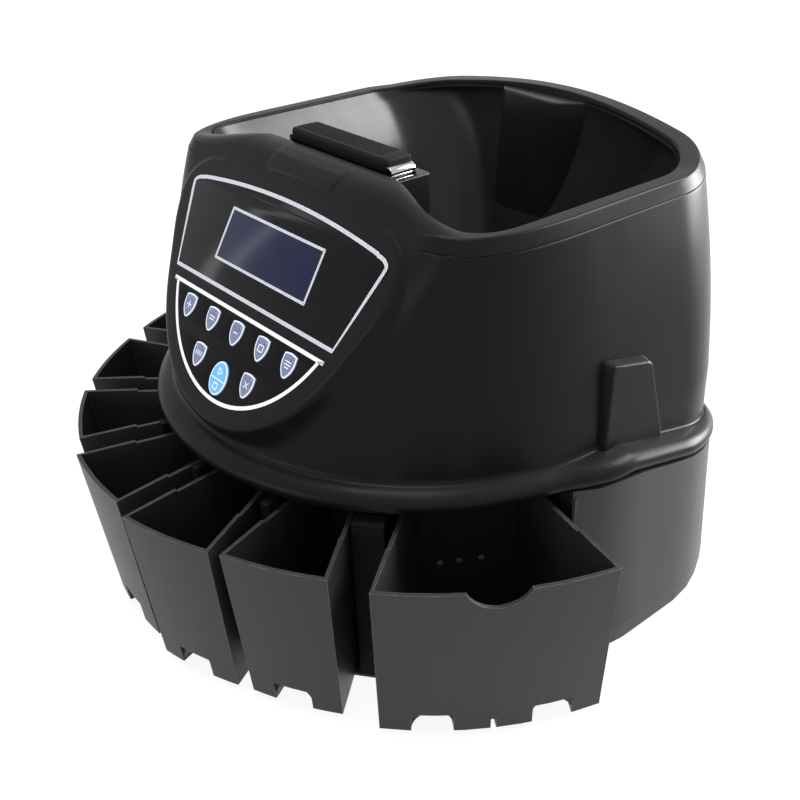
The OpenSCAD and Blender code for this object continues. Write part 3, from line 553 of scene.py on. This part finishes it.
def front_field(direction, reach, facing, s):
    """Signed distance from the housing's front at s along each ray: the body, cut by the plane behind
    the panel with a rolled edge, joined by a fillet to the raised panel with its rounded edge."""
    p = HEART + direction * s[..., None]
    x, y, h = panel_of(p)
    body = smooth_max((s - reach) * facing, h + 1.6, 9.0)
    d = distance(BEZEL, x, y)
    qx, qh = d + PANEL_EDGE, h + PANEL_EDGE
    panel = np.hypot(np.maximum(qx, 0), np.maximum(qh, 0)) + np.minimum(np.maximum(qx, qh), 0) - PANEL_EDGE
    fillet = 1.0 + 9.0 * step(24, -10, y) * step(119, 133, p[..., 2])
    return smooth_max(smooth_min(body, panel, fillet), h, 0.6)


def housing():
    """Skin of the housing: rings round the body from under the lip, over the lip, up the bulged wall,
    over the rim's chamfer and band and down into the mouth. Rays from its heart to the rings in front
    are then stretched to where front_field is zero."""
    a = np.radians(np.concatenate([np.linspace(-88, 88, FRONT_COLUMNS),
                                   np.linspace(88, 272, REAR_COLUMNS + 2)[1:-1]]))
    crease, rim, high = radius(CREASE, a), radius(RIM, a), rim_height(a)

    def wall(t):
        bulge = 2.2 * math.sin(math.pi * t)
        return polar(crease * (1 - t) + rim * t + bulge, a, CREASE_Z + (high - 7.1 - CREASE_Z) * t)

    mouth = hopper_radius(a, 0.0)
    rings = [ledge(CREASE, a, -4.5, LIP_Z + 7), ledge(CREASE, a, -4.5, LIP_Z), ledge(FLANGE, a, -3, LIP_Z),
             ledge(FLANGE, a, 0, LIP_Z + 3.2), ledge(FLANGE, a, 0, LIP_Z + 7.8),
             ledge(FLANGE, a, -4.8, LIP_Z + 11.8), ledge(CREASE, a, 0, CREASE_Z, 1.0)]
    rounds = [0, 0.5, 1.0, 2.5, 3.6, 3.0, 2.2]
    walls = [wall(t) for t in np.linspace(0.045, 0.985, WALL_ROWS)]
    groove = 0.7 * step(0.75, 1.05, np.abs(np.where(a > math.pi, a - 2 * math.pi, a)))
    rings += walls + [wall(1.0), polar(rim - groove, a, high - 6.7), polar(rim - groove * 0.2, a, high - 6.2),
                      polar(rim - 4.0, a, high + 0.9), polar(mouth + 0.2, a, high + 0.9),
                      polar(mouth - 1.2, a, high - 3.2)]
    rounds += [0] * len(walls) + [0.4, 0.3, 0.4, 0.9, 1.0]
    straight = [1, 1, 2, 2, 2, 3, 3] + [1] * (len(walls) - 1) + [1, 1, 1, 4, 6, 3]
    rows = rounded(rings, rounds + [0], straight, bend=CORNER_ROWS)
    first = 1 + sum(straight[:5]) + 5 * CORNER_ROWS
    last = len(rows) - straight[-1] - CORNER_ROWS
    part = rows[first:last, :FRONT_COLUMNS]
    ray = part - HEART
    reach = np.linalg.norm(ray, axis=-1)
    direction = ray / reach[..., None]
    across = np.cross(np.gradient(part, axis=1), np.gradient(part, axis=0))
    across /= np.linalg.norm(across, axis=-1, keepdims=True) + 1e-9
    facing = np.clip(np.abs(np.einsum("ijk,ijk->ij", across, direction)), 0.35, 1)
    low, top = reach * 0.4, reach + 36
    for _ in range(20):
        mid = (low + top) / 2
        out = front_field(direction, reach, facing, mid) > 0
        low, top = np.where(out, low, mid), np.where(out, mid, top)
    solved = HEART + direction * ((low + top) / 2)[..., None]
    x, y, h = panel_of(solved)
    sunk = np.maximum(*(step(1.2, 3.2, -distance(field, x, y))
                        for field in (display_outline(), keypad_outline())))
    sunk = FIELD_DEPTH * sunk * (np.abs(h) < 1.5)
    solved = solved + sunk[..., None] * np.array([0, math.sin(PANEL_TILT), -math.cos(PANEL_TILT)])
    rows[first:last, :FRONT_COLUMNS] = solved
    piece = surface("housing_skin", rows, SHELL, crease=34, outward=False)
    middle = piece.data.polygons[len(piece.data.polygons) // 2]
    if middle.normal.dot(middle.center) < 0:
        piece.data.flip_normals()
    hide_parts("upper_housing")
    nameplate(solved)


def nameplate(skin):
    """Bare film on the brow: loops that shrink to its middle, laid on the skin's height over x and y."""
    x, y = np.linspace(-34, 34, 69), np.linspace(-88, -60, 57)
    dx, dy = x[1] - x[0], y[1] - y[0]
    high = np.array([[np.interp(xj, row[:, 0], row[:, k]) for xj in x] for row in skin for k in (1, 2)])
    high = high.reshape(len(skin), 2, len(x))
    top = high[:, 1].mean(1) > 236
    table = np.array([np.interp(y, high[top, 0, j], high[top, 1, j]) for j in range(len(x))])
    outline = loop([(-31, -79.6), (27.5, -79.6), (30.5, -67.2), (-30.5, -67.2)], [1, 1, 3.5, 1.0], 8, 14)
    middle = np.array([0, -73.4])
    rows = []
    for scale, lift in ((1, -0.5), (1, 0.12), (0.985, 0.2), (0.85, 0.2), (0.6, 0.2), (0.35, 0.2), (0.1, 0.2)):
        q = middle + (outline - middle) * scale
        i, j = (np.clip((q[:, k] - v[0]) / d, 0, len(v) - 1.001) for k, v, d in ((0, x, dx), (1, y, dy)))
        a, b = i.astype(int), j.astype(int)
        u, v = i - a, j - b
        z = (table[a, b] * (1 - u) + table[a + 1, b] * u) * (1 - v) + \
            (table[a, b + 1] * (1 - u) + table[a + 1, b + 1] * u) * v
        slope = (table[a, b + 1] - table[a, b]) / dy
        n = np.stack([np.zeros(len(q)), -slope, np.ones(len(q))], -1)
        n /= np.linalg.norm(n, axis=1, keepdims=True)
        rows.append(np.column_stack([q, z]) + n * lift)
    surface("nameplate_film", rows, NAMEPLATE, lids=(False, True), crease=30)


def side_pad(side):
    """Tapered pad on a flank: rounded quadrilaterals that shrink outwards from inside the wall."""
    def ring(x_low, x_top, grow):
        flat = loop([(-9 - grow, 108), (44.5 + grow, 97), (28 + grow * 0.8, 161.5 + grow),
                     (-3.5 - grow, 169.5 + grow)],
                    [0.5, 0.5, 4, 4], 8, 6)
        t = np.clip((flat[:, 1] - 112) / 54, 0, 1)
        return np.stack([side * (x_low + (x_top - x_low) * t), flat[:, 0], flat[:, 1]], -1)
    rows = rounded([ring(142, 138, 1.6), ring(150, 147, 1.4), ring(155.5, 153.4, 0), ring(155.5, 153.4, -3)],
                   [0, 0, 1.6, 0], 2, 5)
    surface("side_pad_" + ("right" if side > 0 else "left"), rows, SHELL, lids=(False, True))


def funnel():
    """Hopper: one wall between an outer and an inner skin, whose outline passes from the mouth's box
    to the throat's circle."""
    a = np.radians(np.linspace(0, 360, 361)[:-1])
    mouth, high = hopper_radius(a, 0.0), rim_height(a)

    def ring(t, d):
        return polar(hopper_radius(a, t) + d, a, (high - 0.6) * (1 - t) + 118.5 * t)
    steps_down = np.linspace(0, 1, 40)
    inner = [ring(t, -1.0) for t in steps_down]
    outer = [ring(t, 1.2) for t in steps_down[:0:-1]] + [polar(mouth - 0.3, a, high - 1.4)]
    rows = np.array(inner + outer + inner[:1])
    piece = surface("hopper_bowl", rows, HOPPER, crease=50)
    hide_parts("hopper_funnel")


def upright(outline, z):
    """The outline as a ring at height z."""
    return np.column_stack([outline, np.full(len(outline), z)])


def hopper_fittings():
    """Shelf that carries the handle, with a finger pocket, and the column on the back wall."""
    shelf = loop([(-46, -74), (46, -74), (46, -29), (-46, -29)], 2.0, 6, 10)
    pocket = loop([(-34, -60), (34, -60), (34, -32), (-34, -32)], 2.0, 6, 10)
    rings = [upright(shelf, 228), upright(shelf, 249), upright(pocket, 249), upright(pocket, 231)]
    surface("hopper_shelf", rounded(rings, [0, 0.9, 0.9, 0], 3, 5), HOPPER, lids=(True, True))
    foot, head = (loop([(-43.5, y + left), (2.5, y), (17, y + 14), (17, 125), (-56, 123), (-56, y + 14)],
                       [4, 5, 3, 1, 1, 3], 8, 4) for y, left in ((104.0, -2.5), (107.5, 3.5)))
    rings = [upright(foot, 165), upright(head, 252.0), upright(offset(head, -2.5), 252.0)]
    surface("hopper_column", rounded(rings, [0, 1.3, 0], [6, 2], 5), HOPPER, lids=(True, True))


# ---------------------------------------------------------------- control panel
def plate(name, outline, low, top, soft, material, holes=(), replaces=()):
    """Flat plate on the panel with a rounded upper edge and, where given, holes, filled as a curve."""
    curve = bpy.data.curves.new(name, "CURVE")
    curve.dimensions, curve.fill_mode = "2D", "BOTH"
    for ring in [outline, *holes]:
        spline = curve.splines.new("POLY")
        spline.points.add(len(ring) - 1)
        spline.points.foreach_set("co", np.column_stack([ring, np.zeros(len(ring)),
                                                         np.ones(len(ring))]).ravel())
        spline.use_cyclic_u = True
    thick = (top - low) / 2
    curve.extrude, curve.bevel_depth, curve.bevel_resolution, curve.offset = thick - soft, soft, 2, -soft
    holder = bpy.data.objects.new(name, curve)
    bpy.context.scene.collection.objects.link(holder)
    mesh = bpy.data.meshes.new_from_object(holder.evaluated_get(bpy.context.evaluated_depsgraph_get()))
    bpy.data.objects.remove(holder)
    points = np.empty(len(mesh.vertices) * 3)
    mesh.vertices.foreach_get("co", points)
    points = points.reshape(-1, 3)
    faces = [list(f.vertices) for f in mesh.polygons]
    world = on_panel(points[:, 0], points[:, 1], points[:, 2] + (low + top) / 2)
    piece = keep(name, world, faces, material, "base", outward=False)
    work = bmesh.new()
    work.from_mesh(piece.data)
    bmesh.ops.remove_doubles(work, verts=work.verts, dist=1e-6)
    bmesh.ops.recalc_face_normals(work, faces=work.faces)
    work.to_mesh(piece.data)
    work.free()
    piece.data.shade_smooth()
    piece.data.set_sharp_from_angle(angle=math.radians(38))
    if replaces:
        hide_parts(*replaces)


def band(name, outline, inner, outer, low, top, material):
    """Printed line along an outline, between two offsets, slightly proud of what carries it."""
    rings = [on_panel(*offset(outline, d).T, h) for d, h in
             ((outer, low), (outer, top), (inner, top), (inner, low), (outer, low))]
    surface(name, rounded(rings, [0, 0.06, 0.06, 0, 0], 1, 2), material)


LCD_HALF = (42.0, 14.45)
ROW, LOW_ROW = -44.8, -65.4
KEYS = {"key_plus": (-48, ROW), "key_batch": (-24, ROW), "key_minus": (0, ROW), "key_set": (24, ROW),
        "key_print": (48, ROW), "key_report": (-23.8, LOW_ROW), "key_start_stop": (0, -70.6),
        "key_clear": (23.8, LOW_ROW)}


def shield(g=0.0):
    """Outline of a key: a bowed top, sides that lean in and a point at the foot."""
    t = np.linspace(1, -1, 9)[:, None]
    top = np.hstack([t * (5.2 + g), 5.6 + g + 0.9 * (1 - t * t)])
    s = np.linspace(0, 1, 9)[1:, None]
    a, b, c = np.array([-5.2 - g, 5.6 + g]), np.array([-6.9 - g * 1.2, -2.2]), np.array([-1.0, -7.0 - g])
    left = (1 - s) ** 2 * a + 2 * s * (1 - s) * b + s * s * c
    return np.vstack([top, left, left[::-1] * [-1, 1]])[:-1]


def oval(a, b):
    u = np.linspace(0, 2 * np.pi, 40, endpoint=False)
    return np.stack([a * np.cos(u), b * np.sin(u)], -1)


def key_outline(name, g=0.0):
    """Outline of a key, moved out by g."""
    return oval(7.4 + g, 9.4 + g) if name == "key_start_stop" else shield(g)


def bars(name, strokes, width, at, body):
    """Flat strokes between pairs of points, joined into one printed mark."""
    s = np.asarray(strokes, float)
    along = s[:, 1] - s[:, 0]
    along /= np.linalg.norm(along, axis=1, keepdims=True)
    side = np.stack([-along[:, 1], along[:, 0]], -1) * width / 2
    corners = np.stack([s[:, 0] - side, s[:, 1] - side, s[:, 1] + side, s[:, 0] + side], 1) + at
    low, top = (on_panel(corners[..., 0], corners[..., 1], h).reshape(-1, 3) for h in (0.7, 0.98))
    n = len(low)
    verts = np.vstack([low, top])
    faces = []
    for k in range(0, n, 4):
        faces += [[k + 3, k + 2, k + 1, k], [n + k, n + k + 1, n + k + 2, n + k + 3]]
        faces += [[k + j, k + (j + 1) % 4, n + k + (j + 1) % 4, n + k + j] for j in range(4)]
    keep(name, verts, faces, WHITE_PRINT, body, outward=False)


MARKS = {"key_plus": [((-1.9, 0.2), (1.9, 0.2)), ((0, -1.8), (0, 2.2))],
         "key_minus": [((-1.8, 0.1), (1.8, 0.1))],
         "key_batch": [((-2.4, 1.3), (2.4, 1.3)), ((-2.4, -0.3), (2.4, -0.3))],
         "key_set": [((-1.9, 1.8), (1.9, 1.8)), ((1.9, 1.8), (1.9, -1.6)), ((1.9, -1.6), (-1.9, -1.6)),
                     ((-1.9, -1.6), (-1.9, 1.8))],
         "key_print": [((-2.6, 1.8), (2.6, 1.8)), ((-2.6, 0.2), (2.6, 0.2)), ((-1.6, -1.4), (1.6, -1.4))],
         "key_report": [((-2.4, 1.9), (-2.4, -0.6)), ((-0.8, 1.9), (-0.8, -0.6)), ((0.8, 1.9), (0.8, -0.6)),
                        ((2.4, 1.9), (2.4, -0.6))],
         "key_clear": [((-1.7, 1.9), (1.7, -1.5)), ((-1.7, -1.5), (1.7, 1.9))],
         "key_start_stop": [((-6.3, -0.6), (6.3, -0.6)), ((-1.4, 5.6), (2.2, 3.7)), ((2.2, 3.7), (-1.4, 1.8)),
                            ((-1.4, 1.8), (-1.4, 5.6)), ((-1.7, -2.8), (1.7, -2.8)),
                            ((1.7, -2.8), (1.7, -6.0)),
                            ((1.7, -6.0), (-1.7, -6.0)), ((-1.7, -6.0), (-1.7, -2.8))]}


def control_panel():
    """Window, keypad film, display and their printed lines, then each key's cap, rim and mark."""
    holes = [key_outline(name, 0.35) + np.array(at) for name, at in KEYS.items()]
    plate("panel_window", display_outline(), -1.6, 0.22, 0.18, WINDOW,
          replaces=("display_window",))
    plate("panel_film", keypad_outline(), -1.6, 0.16, 0.1, OVERLAY, holes=holes,
          replaces=("keypad_overlay",))
    band("window_line", display_outline(), -2.5, -0.4, 0.1, 0.27, OUTLINE)
    band("film_line", keypad_outline(), -2.6, -0.5, 0.05, 0.22, WHITE_PRINT)
    w, h = LCD_HALF
    screen = np.array([(w, h), (-w, h), (-w, -h), (w, -h)])
    plate("lcd_screen", screen, 0.1, 0.27, 0.02, LCD)
    band("lcd_frame", loop(screen, 0.3, 3), -1.0, 0.5, 0.15, 0.33, OUTLINE)
    for name, at in KEYS.items():
        body = name + "_cap"
        shape = key_outline(name)
        at = np.array(at)

        def ring(d, height, shape=shape, at=at):
            return on_panel(*(offset(shape, d) + at).T, height)
        start = name == "key_start_stop"
        rows = rounded([ring(0, -1.4), ring(0, 0.62), ring(-1.4, 0.86), ring(-3.2, 0.9)], [0, 0.35, 0.5, 0],
                       2, 4)
        cap = surface(name + "_cap_film", rows, KEY_BLUE if start else KEY,
                      body, lids=(True, True))
        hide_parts(name)
        rim = [ring(-0.1, 0.4), ring(-0.12, 0.76), ring(-0.95, 0.93), ring(-0.95, 0.5), ring(-0.1, 0.4)]
        surface(name + "_outline", rounded(rim, [0, 0.12, 0.1, 0, 0], 1, 3), WHITE_PRINT, body)
        bars(name + "_mark", MARKS[name], 0.55 if not start else 0.6, at, body)


# ---------------------------------------------------------------- carrying handle
GRIP_Y, GRIP_Z = -45.8, 251.8


def grip_skin():
    """Grip: a flat section with ribs along its top, carried along the handle and drawn in at each end."""
    top = np.linspace(7.9, -7.9, 113)
    groove = 0.55 * np.exp(-((np.abs((top / 2.2) - np.round(top / 2.2)) * 2.2) / 0.42) ** 2) * (np.abs(top) < 7.3)
    crown = 8.4 - 0.25 * (top / 8) ** 2
    edge = loop([(-9, 0), (9, 0), (9, 8.2), (-9, 8.2)], [2, 2, 2.4, 2.4], 6)
    section = np.vstack([edge[:18], np.stack([top, crown], -1), edge[18:]])
    depth = np.concatenate([np.zeros(18), groove, np.zeros(len(section) - 18 - len(top))])
    x = np.array([-41.4, -41.3, -40.9, -40.2, -39.2, -38.4, -38.0, 0, 33.4, 33.8, 34.6, 38, 40.2, 40.9,
                  41.3, 41.4])
    inset = np.array([3.0, 1.6, 0.7, 0.2, 0, 0, 0, 0, 0, 0, 0, 0, 0.2, 0.7, 1.6, 3.0])
    ribbed = np.array([0, 0, 0, 0, 0, 0, 1, 1, 1, 0, 0, 0, 0, 0, 0, 0.0])
    middle = np.array([0.0, 4.2])
    pull = section - middle
    scale = 1 - inset[:, None, None] / np.array([9.0, 4.6])
    rows = middle + pull * np.maximum(scale, 0.2)
    z = rows[..., 1] - depth * ribbed[:, None]
    points = np.stack([np.broadcast_to(x[:, None], z.shape), GRIP_Y + rows[..., 0], GRIP_Z + z], -1)
    piece = surface("grip_skin", points, RUBBER, lids=(True, True), crease=45)
    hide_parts("handle_grip")


def grip_dots():
    """Row of seven low domes across the grip, near its right end."""
    u, v = np.meshgrid(np.linspace(0, 2 * np.pi, 12, endpoint=False), np.linspace(0, np.pi / 2, 4))
    dome = np.stack([0.45 * np.cos(v) * np.cos(u), 0.45 * np.cos(v) * np.sin(u), 0.35 * np.sin(v)], -1)
    for k in range(-3, 4):
        across = 2.2 * k
        spot = [36.4, GRIP_Y + across, GRIP_Z + 8.33 - 0.25 * (across / 8) ** 2]
        surface("grip_dot_%d" % (k + 4), dome + spot, RUBBER, crease=60)


def handle_ends():
    """Bent strip at each end: one section drawn in at both edges of its width."""
    for side in (-1, 1):
        t = np.radians(np.linspace(100, -95, 16))
        outer = np.stack([41.2 + 3.7 * np.cos(t), 253.2 + 3.1 * np.sin(t)], -1)
        strip = np.vstack([outer[:14], [(42.6, 250.4), (45.9, 250.3), (46.0, 249.5), (45.6, 249.05),
                                        (34.5, 249.05), (34.5, 250.6), (38.6, 251.0), (39.6, 254.5)]])
        y = np.array([-7.9, -7.8, -7.5, 0, 7.5, 7.8, 7.9])
        squeeze = np.array([0.90, 0.97, 1, 1, 1, 0.97, 0.90])
        centre = np.array([41.0, GRIP_Z])
        rows = centre + (strip - centre) * squeeze[:, None, None]
        points = np.stack([side * rows[..., 0], np.broadcast_to(GRIP_Y + y[:, None], rows.shape[:2]),
                           rows[..., 1]], -1)
        piece = surface("handle_end_" + ("right" if side > 0 else "left"), points, CHROME,
                        lids=(True, True), crease=32)
        if side > 0:
            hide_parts("handle_brackets")


# ---------------------------------------------------------------- CAD nodes with finished edges
def dress(name, material, body, soft):
    """Copy of a CAD node with its doubles merged, flat faces joined and sharp edges rounded by soft mm."""
    source = frame["nodes"][name]
    mesh = source.data.copy()
    work = bmesh.new()
    work.from_mesh(mesh)
    bmesh.ops.remove_doubles(work, verts=work.verts, dist=2e-5)
    bmesh.ops.dissolve_limit(work, angle_limit=math.radians(0.6), verts=work.verts, edges=work.edges)
    work.to_mesh(mesh)
    work.free()
    mesh.materials.clear()
    mesh.materials.append(material)
    mesh.shade_smooth()
    piece = bpy.data.objects.new(name + "_finish", mesh)
    bpy.context.scene.collection.objects.link(piece)
    edge = piece.modifiers.new("edge", "BEVEL")
    edge.width, edge.segments, edge.limit_method = soft * MM, 2, "ANGLE"
    edge.angle_limit, edge.use_clamp_overlap, edge.harden_normals = math.radians(30), True, False
    even = piece.modifiers.new("even", "WEIGHTED_NORMAL")
    even.mode, even.weight, even.keep_sharp = "FACE_AREA", 100, False
    solid = bpy.data.meshes.new_from_object(piece.evaluated_get(bpy.context.evaluated_depsgraph_get()))
    piece.modifiers.clear()
    piece.data = solid
    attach(piece, body)
    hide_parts(name)


# [angle from the front, distance from the centre, turn] of each cup, and where the tunnels run under it
CUP_PLACES = {"1": (-69.275, 203, 0.5, [-1]), "2": (-48.625, 204, -1.5, [-1]), "3": (-28.875, 205.3, 1, [-1]),
              "4": (-8.625, 206, 4.5, [-1]), "5": (10.825, 204.3, 7, [-1]), "6": (28.775, 199.6, 0.2, [-1]),
              "double": (59.45, 202.2, -2.9, [-31, 31])}
CUP_MARKS = ((-15.4, 46.4), (-4.7, 47.2), (7.7, 47.8))      # across and height, on the double cup's inner end


def in_cup(key, across, inward, z):
    """From a cup's own across and inward to the machine's axes."""
    angle, reach, turn, _ = CUP_PLACES[key]
    phi, psi = math.radians(angle), math.radians(angle + turn)
    return np.stack([reach * math.sin(phi) + across * math.cos(psi) - inward * math.sin(psi),
                     -reach * math.cos(phi) + across * math.sin(psi) + inward * math.cos(psi),
                     np.broadcast_to(z, np.shape(across))], -1)


def cup_arches():
    """Corners between the half circle of a cup's tunnel and the square notch in its face, and the
    three small round marks inside the double cup."""
    u = np.radians(np.linspace(2, 178, 45))
    across, arch = 10.68 * np.cos(u), 5.5 + 10.6 * np.sin(u)
    for key, (_, _, _, lanes) in CUP_PLACES.items():
        for k, lane in enumerate(lanes):
            front = 5.4 if key == "double" else 9.2
            rows = np.stack([in_cup(key, across + lane, np.full(45, inward), z) for inward, z in
                             ((front, arch), (front, np.full(45, 16.25)), (16.4, np.full(45, 16.25)),
                              (16.4, arch))], 1)
            surface("cup_%s_arch_%d" % (key, k + 1), rows, CUP, "cup_" + key, lids=(True, True),
                    crease=30)
    disc = np.linspace(0, 2 * np.pi, 24, endpoint=False)
    for k, (x, z) in enumerate(CUP_MARKS):
        rings = [in_cup("double", x + r * np.cos(disc), np.full(24, y), z + r * np.sin(disc)) for r, y in
                 ((1.7, 85.0), (1.7, 83.8), (1.3, 83.6))]
        surface("cup_mark_%d" % (k + 1), rings, MARK, "cup_double", lids=(False, True), crease=40)


def dressed_nodes():
    """CAD nodes whose shape is right, with their edges rounded."""
    for key in CUP_PLACES:
        dress("coin_cup_" + key, CUP, "cup_" + key, 0.45)
    for name, soft, material, slot in (("base_shell", 0.4, LOWER_PAINTED_LIGHT, "shell_abs"),
                                       ("base_pan", 0.5, LOWER_PAINTED_LIGHT, "shell_abs"),
                                       ("bay_posts", 0.4, POST_PAINTED_SHADE, "shell_abs"),
                                       ("switch_body", 0.3, SOCKET, "socket_black"),
                                       ("power_inlet", 0.3, SOCKET, "socket_black")):
        dress(name, material, "base", soft)


def carried_over():
    """Each CAD node's own object gets the finish of its slot."""
    slots = {s["node"]: s["material_slot"] for s in frame["record"]["subparts"]}
    for name, item in frame["nodes"].items():
        item.data.materials.clear()
        item.data.materials.append(SLOT_FINISH[slots[name]])


# ---------------------------------------------------------------- stage
# name, position, target, size, power
LAMPS = (("overhead softbox", (-0.3, -0.2, 1.7), (0, 0, 0.1), (1.6, 1.6), 2),
         ("overhead strip", (0.1, -0.3, 1.5), (0, 0, 0.2), (0.7, 0.08), 7),
         ("hopper softbox", (0.56, 0.93, 1.02), (-0.1, 0.04, 0.22), (0.6, 0.6), 28),
         ("right softbox", (0.53, 1.46, 0.22), (0, 0, 0.2), (0.85, 0.62), 48),
         ("left softbox", (-0.2, -1.7, 0.35), (0, 0, 0.05), (1.0, 0.6), 5),
         ("left strip", (-1.31, -0.84, 0.6), (0, -0.1, 0.2), (0.07, 0.8), 0.5))


def light(name, spot, target, size, power):
    """Rectangular lamp at spot that faces target."""
    lamp = bpy.data.lights.new(name, "AREA")
    lamp.shape, lamp.size, lamp.size_y, lamp.energy = "RECTANGLE", size[0], size[1], power
    made = bpy.data.objects.new(name, lamp)
    bpy.context.scene.collection.objects.link(made)
    back = np.array(spot, float) - np.array(target, float)
    back /= np.linalg.norm(back)
    right = np.cross([0, 0, 1.0], back)
    right /= np.linalg.norm(right)
    turn = np.eye(4)
    turn[:3, 0], turn[:3, 1], turn[:3, 2], turn[:3, 3] = right, np.cross(back, right), back, spot
    made.matrix_world = turn.T.tolist()


def show_white(tree):
    """1 for camera, glossy and transmitted rays, and 0 for the rest."""
    path = node(tree, "LightPath")
    seen = math_node(tree, "MAXIMUM", path.outputs["Is Camera Ray"], path.outputs["Is Glossy Ray"])
    return math_node(tree, "MAXIMUM", seen, path.outputs["Is Transmission Ray"])


def make_stage():
    """World that is white where it is seen and softer where it lights, a pale floor and the lamps."""
    world = bpy.data.worlds.new("studio")
    bpy.context.scene.world = world
    world.use_nodes = True
    tree = world.node_tree
    tree.nodes.clear()
    soft, white = node(tree, "Background", Strength=0.7), node(tree, "Background", Strength=1.0)
    soft.inputs[0].default_value = (0.9, 0.93, 1.0, 1)
    white.inputs[0].default_value = (1, 1, 1, 1)
    mix, out = node(tree, "MixShader"), node(tree, "OutputWorld")
    link(tree, (show_white(tree), mix.inputs[0]), (soft.outputs[0], mix.inputs[1]),
         (white.outputs[0], mix.inputs[2]), (mix.outputs[0], out.inputs[0]))
    floor_finish = bpy.data.materials.new("pale floor")
    floor_finish.use_nodes = True
    tree = floor_finish.node_tree
    body = tree.nodes["Principled BSDF"]
    for socket, value in (("Base Color", (0.9, 0.9, 0.9, 1)), ("Roughness", 0.9),
                          ("Specular IOR Level", 0.1)):
        body.inputs[socket].default_value = value
    glow, part = node(tree, "Emission", Strength=1.12), node(tree, "MixShader")
    out = tree.nodes["Material Output"]
    link(tree, (math_node(tree, "MULTIPLY", show_white(tree), 0.8), part.inputs[0]),
         (body.outputs[0], part.inputs[1]), (glow.outputs[0], part.inputs[2]),
         (part.outputs[0], out.inputs[0]))
    mesh = bpy.data.meshes.new("floor")
    mesh.from_pydata([(-6, -6, 0), (6, -6, 0), (6, 6, 0), (-6, 6, 0)], [], [(0, 1, 2, 3)])
    mesh.materials.append(floor_finish)
    floor = bpy.data.objects.new("floor", mesh)
    bpy.context.scene.collection.objects.link(floor)
    for lamp in LAMPS:
        light(*lamp)


make_camera()
make_stage()
carried_over()
housing()
side_pad(1)
side_pad(-1)
funnel()
hopper_fittings()
control_panel()
grip_skin()
grip_dots()
handle_ends()
dressed_nodes()
cup_arches()
bpy.context.scene.view_settings.view_transform = "Standard"
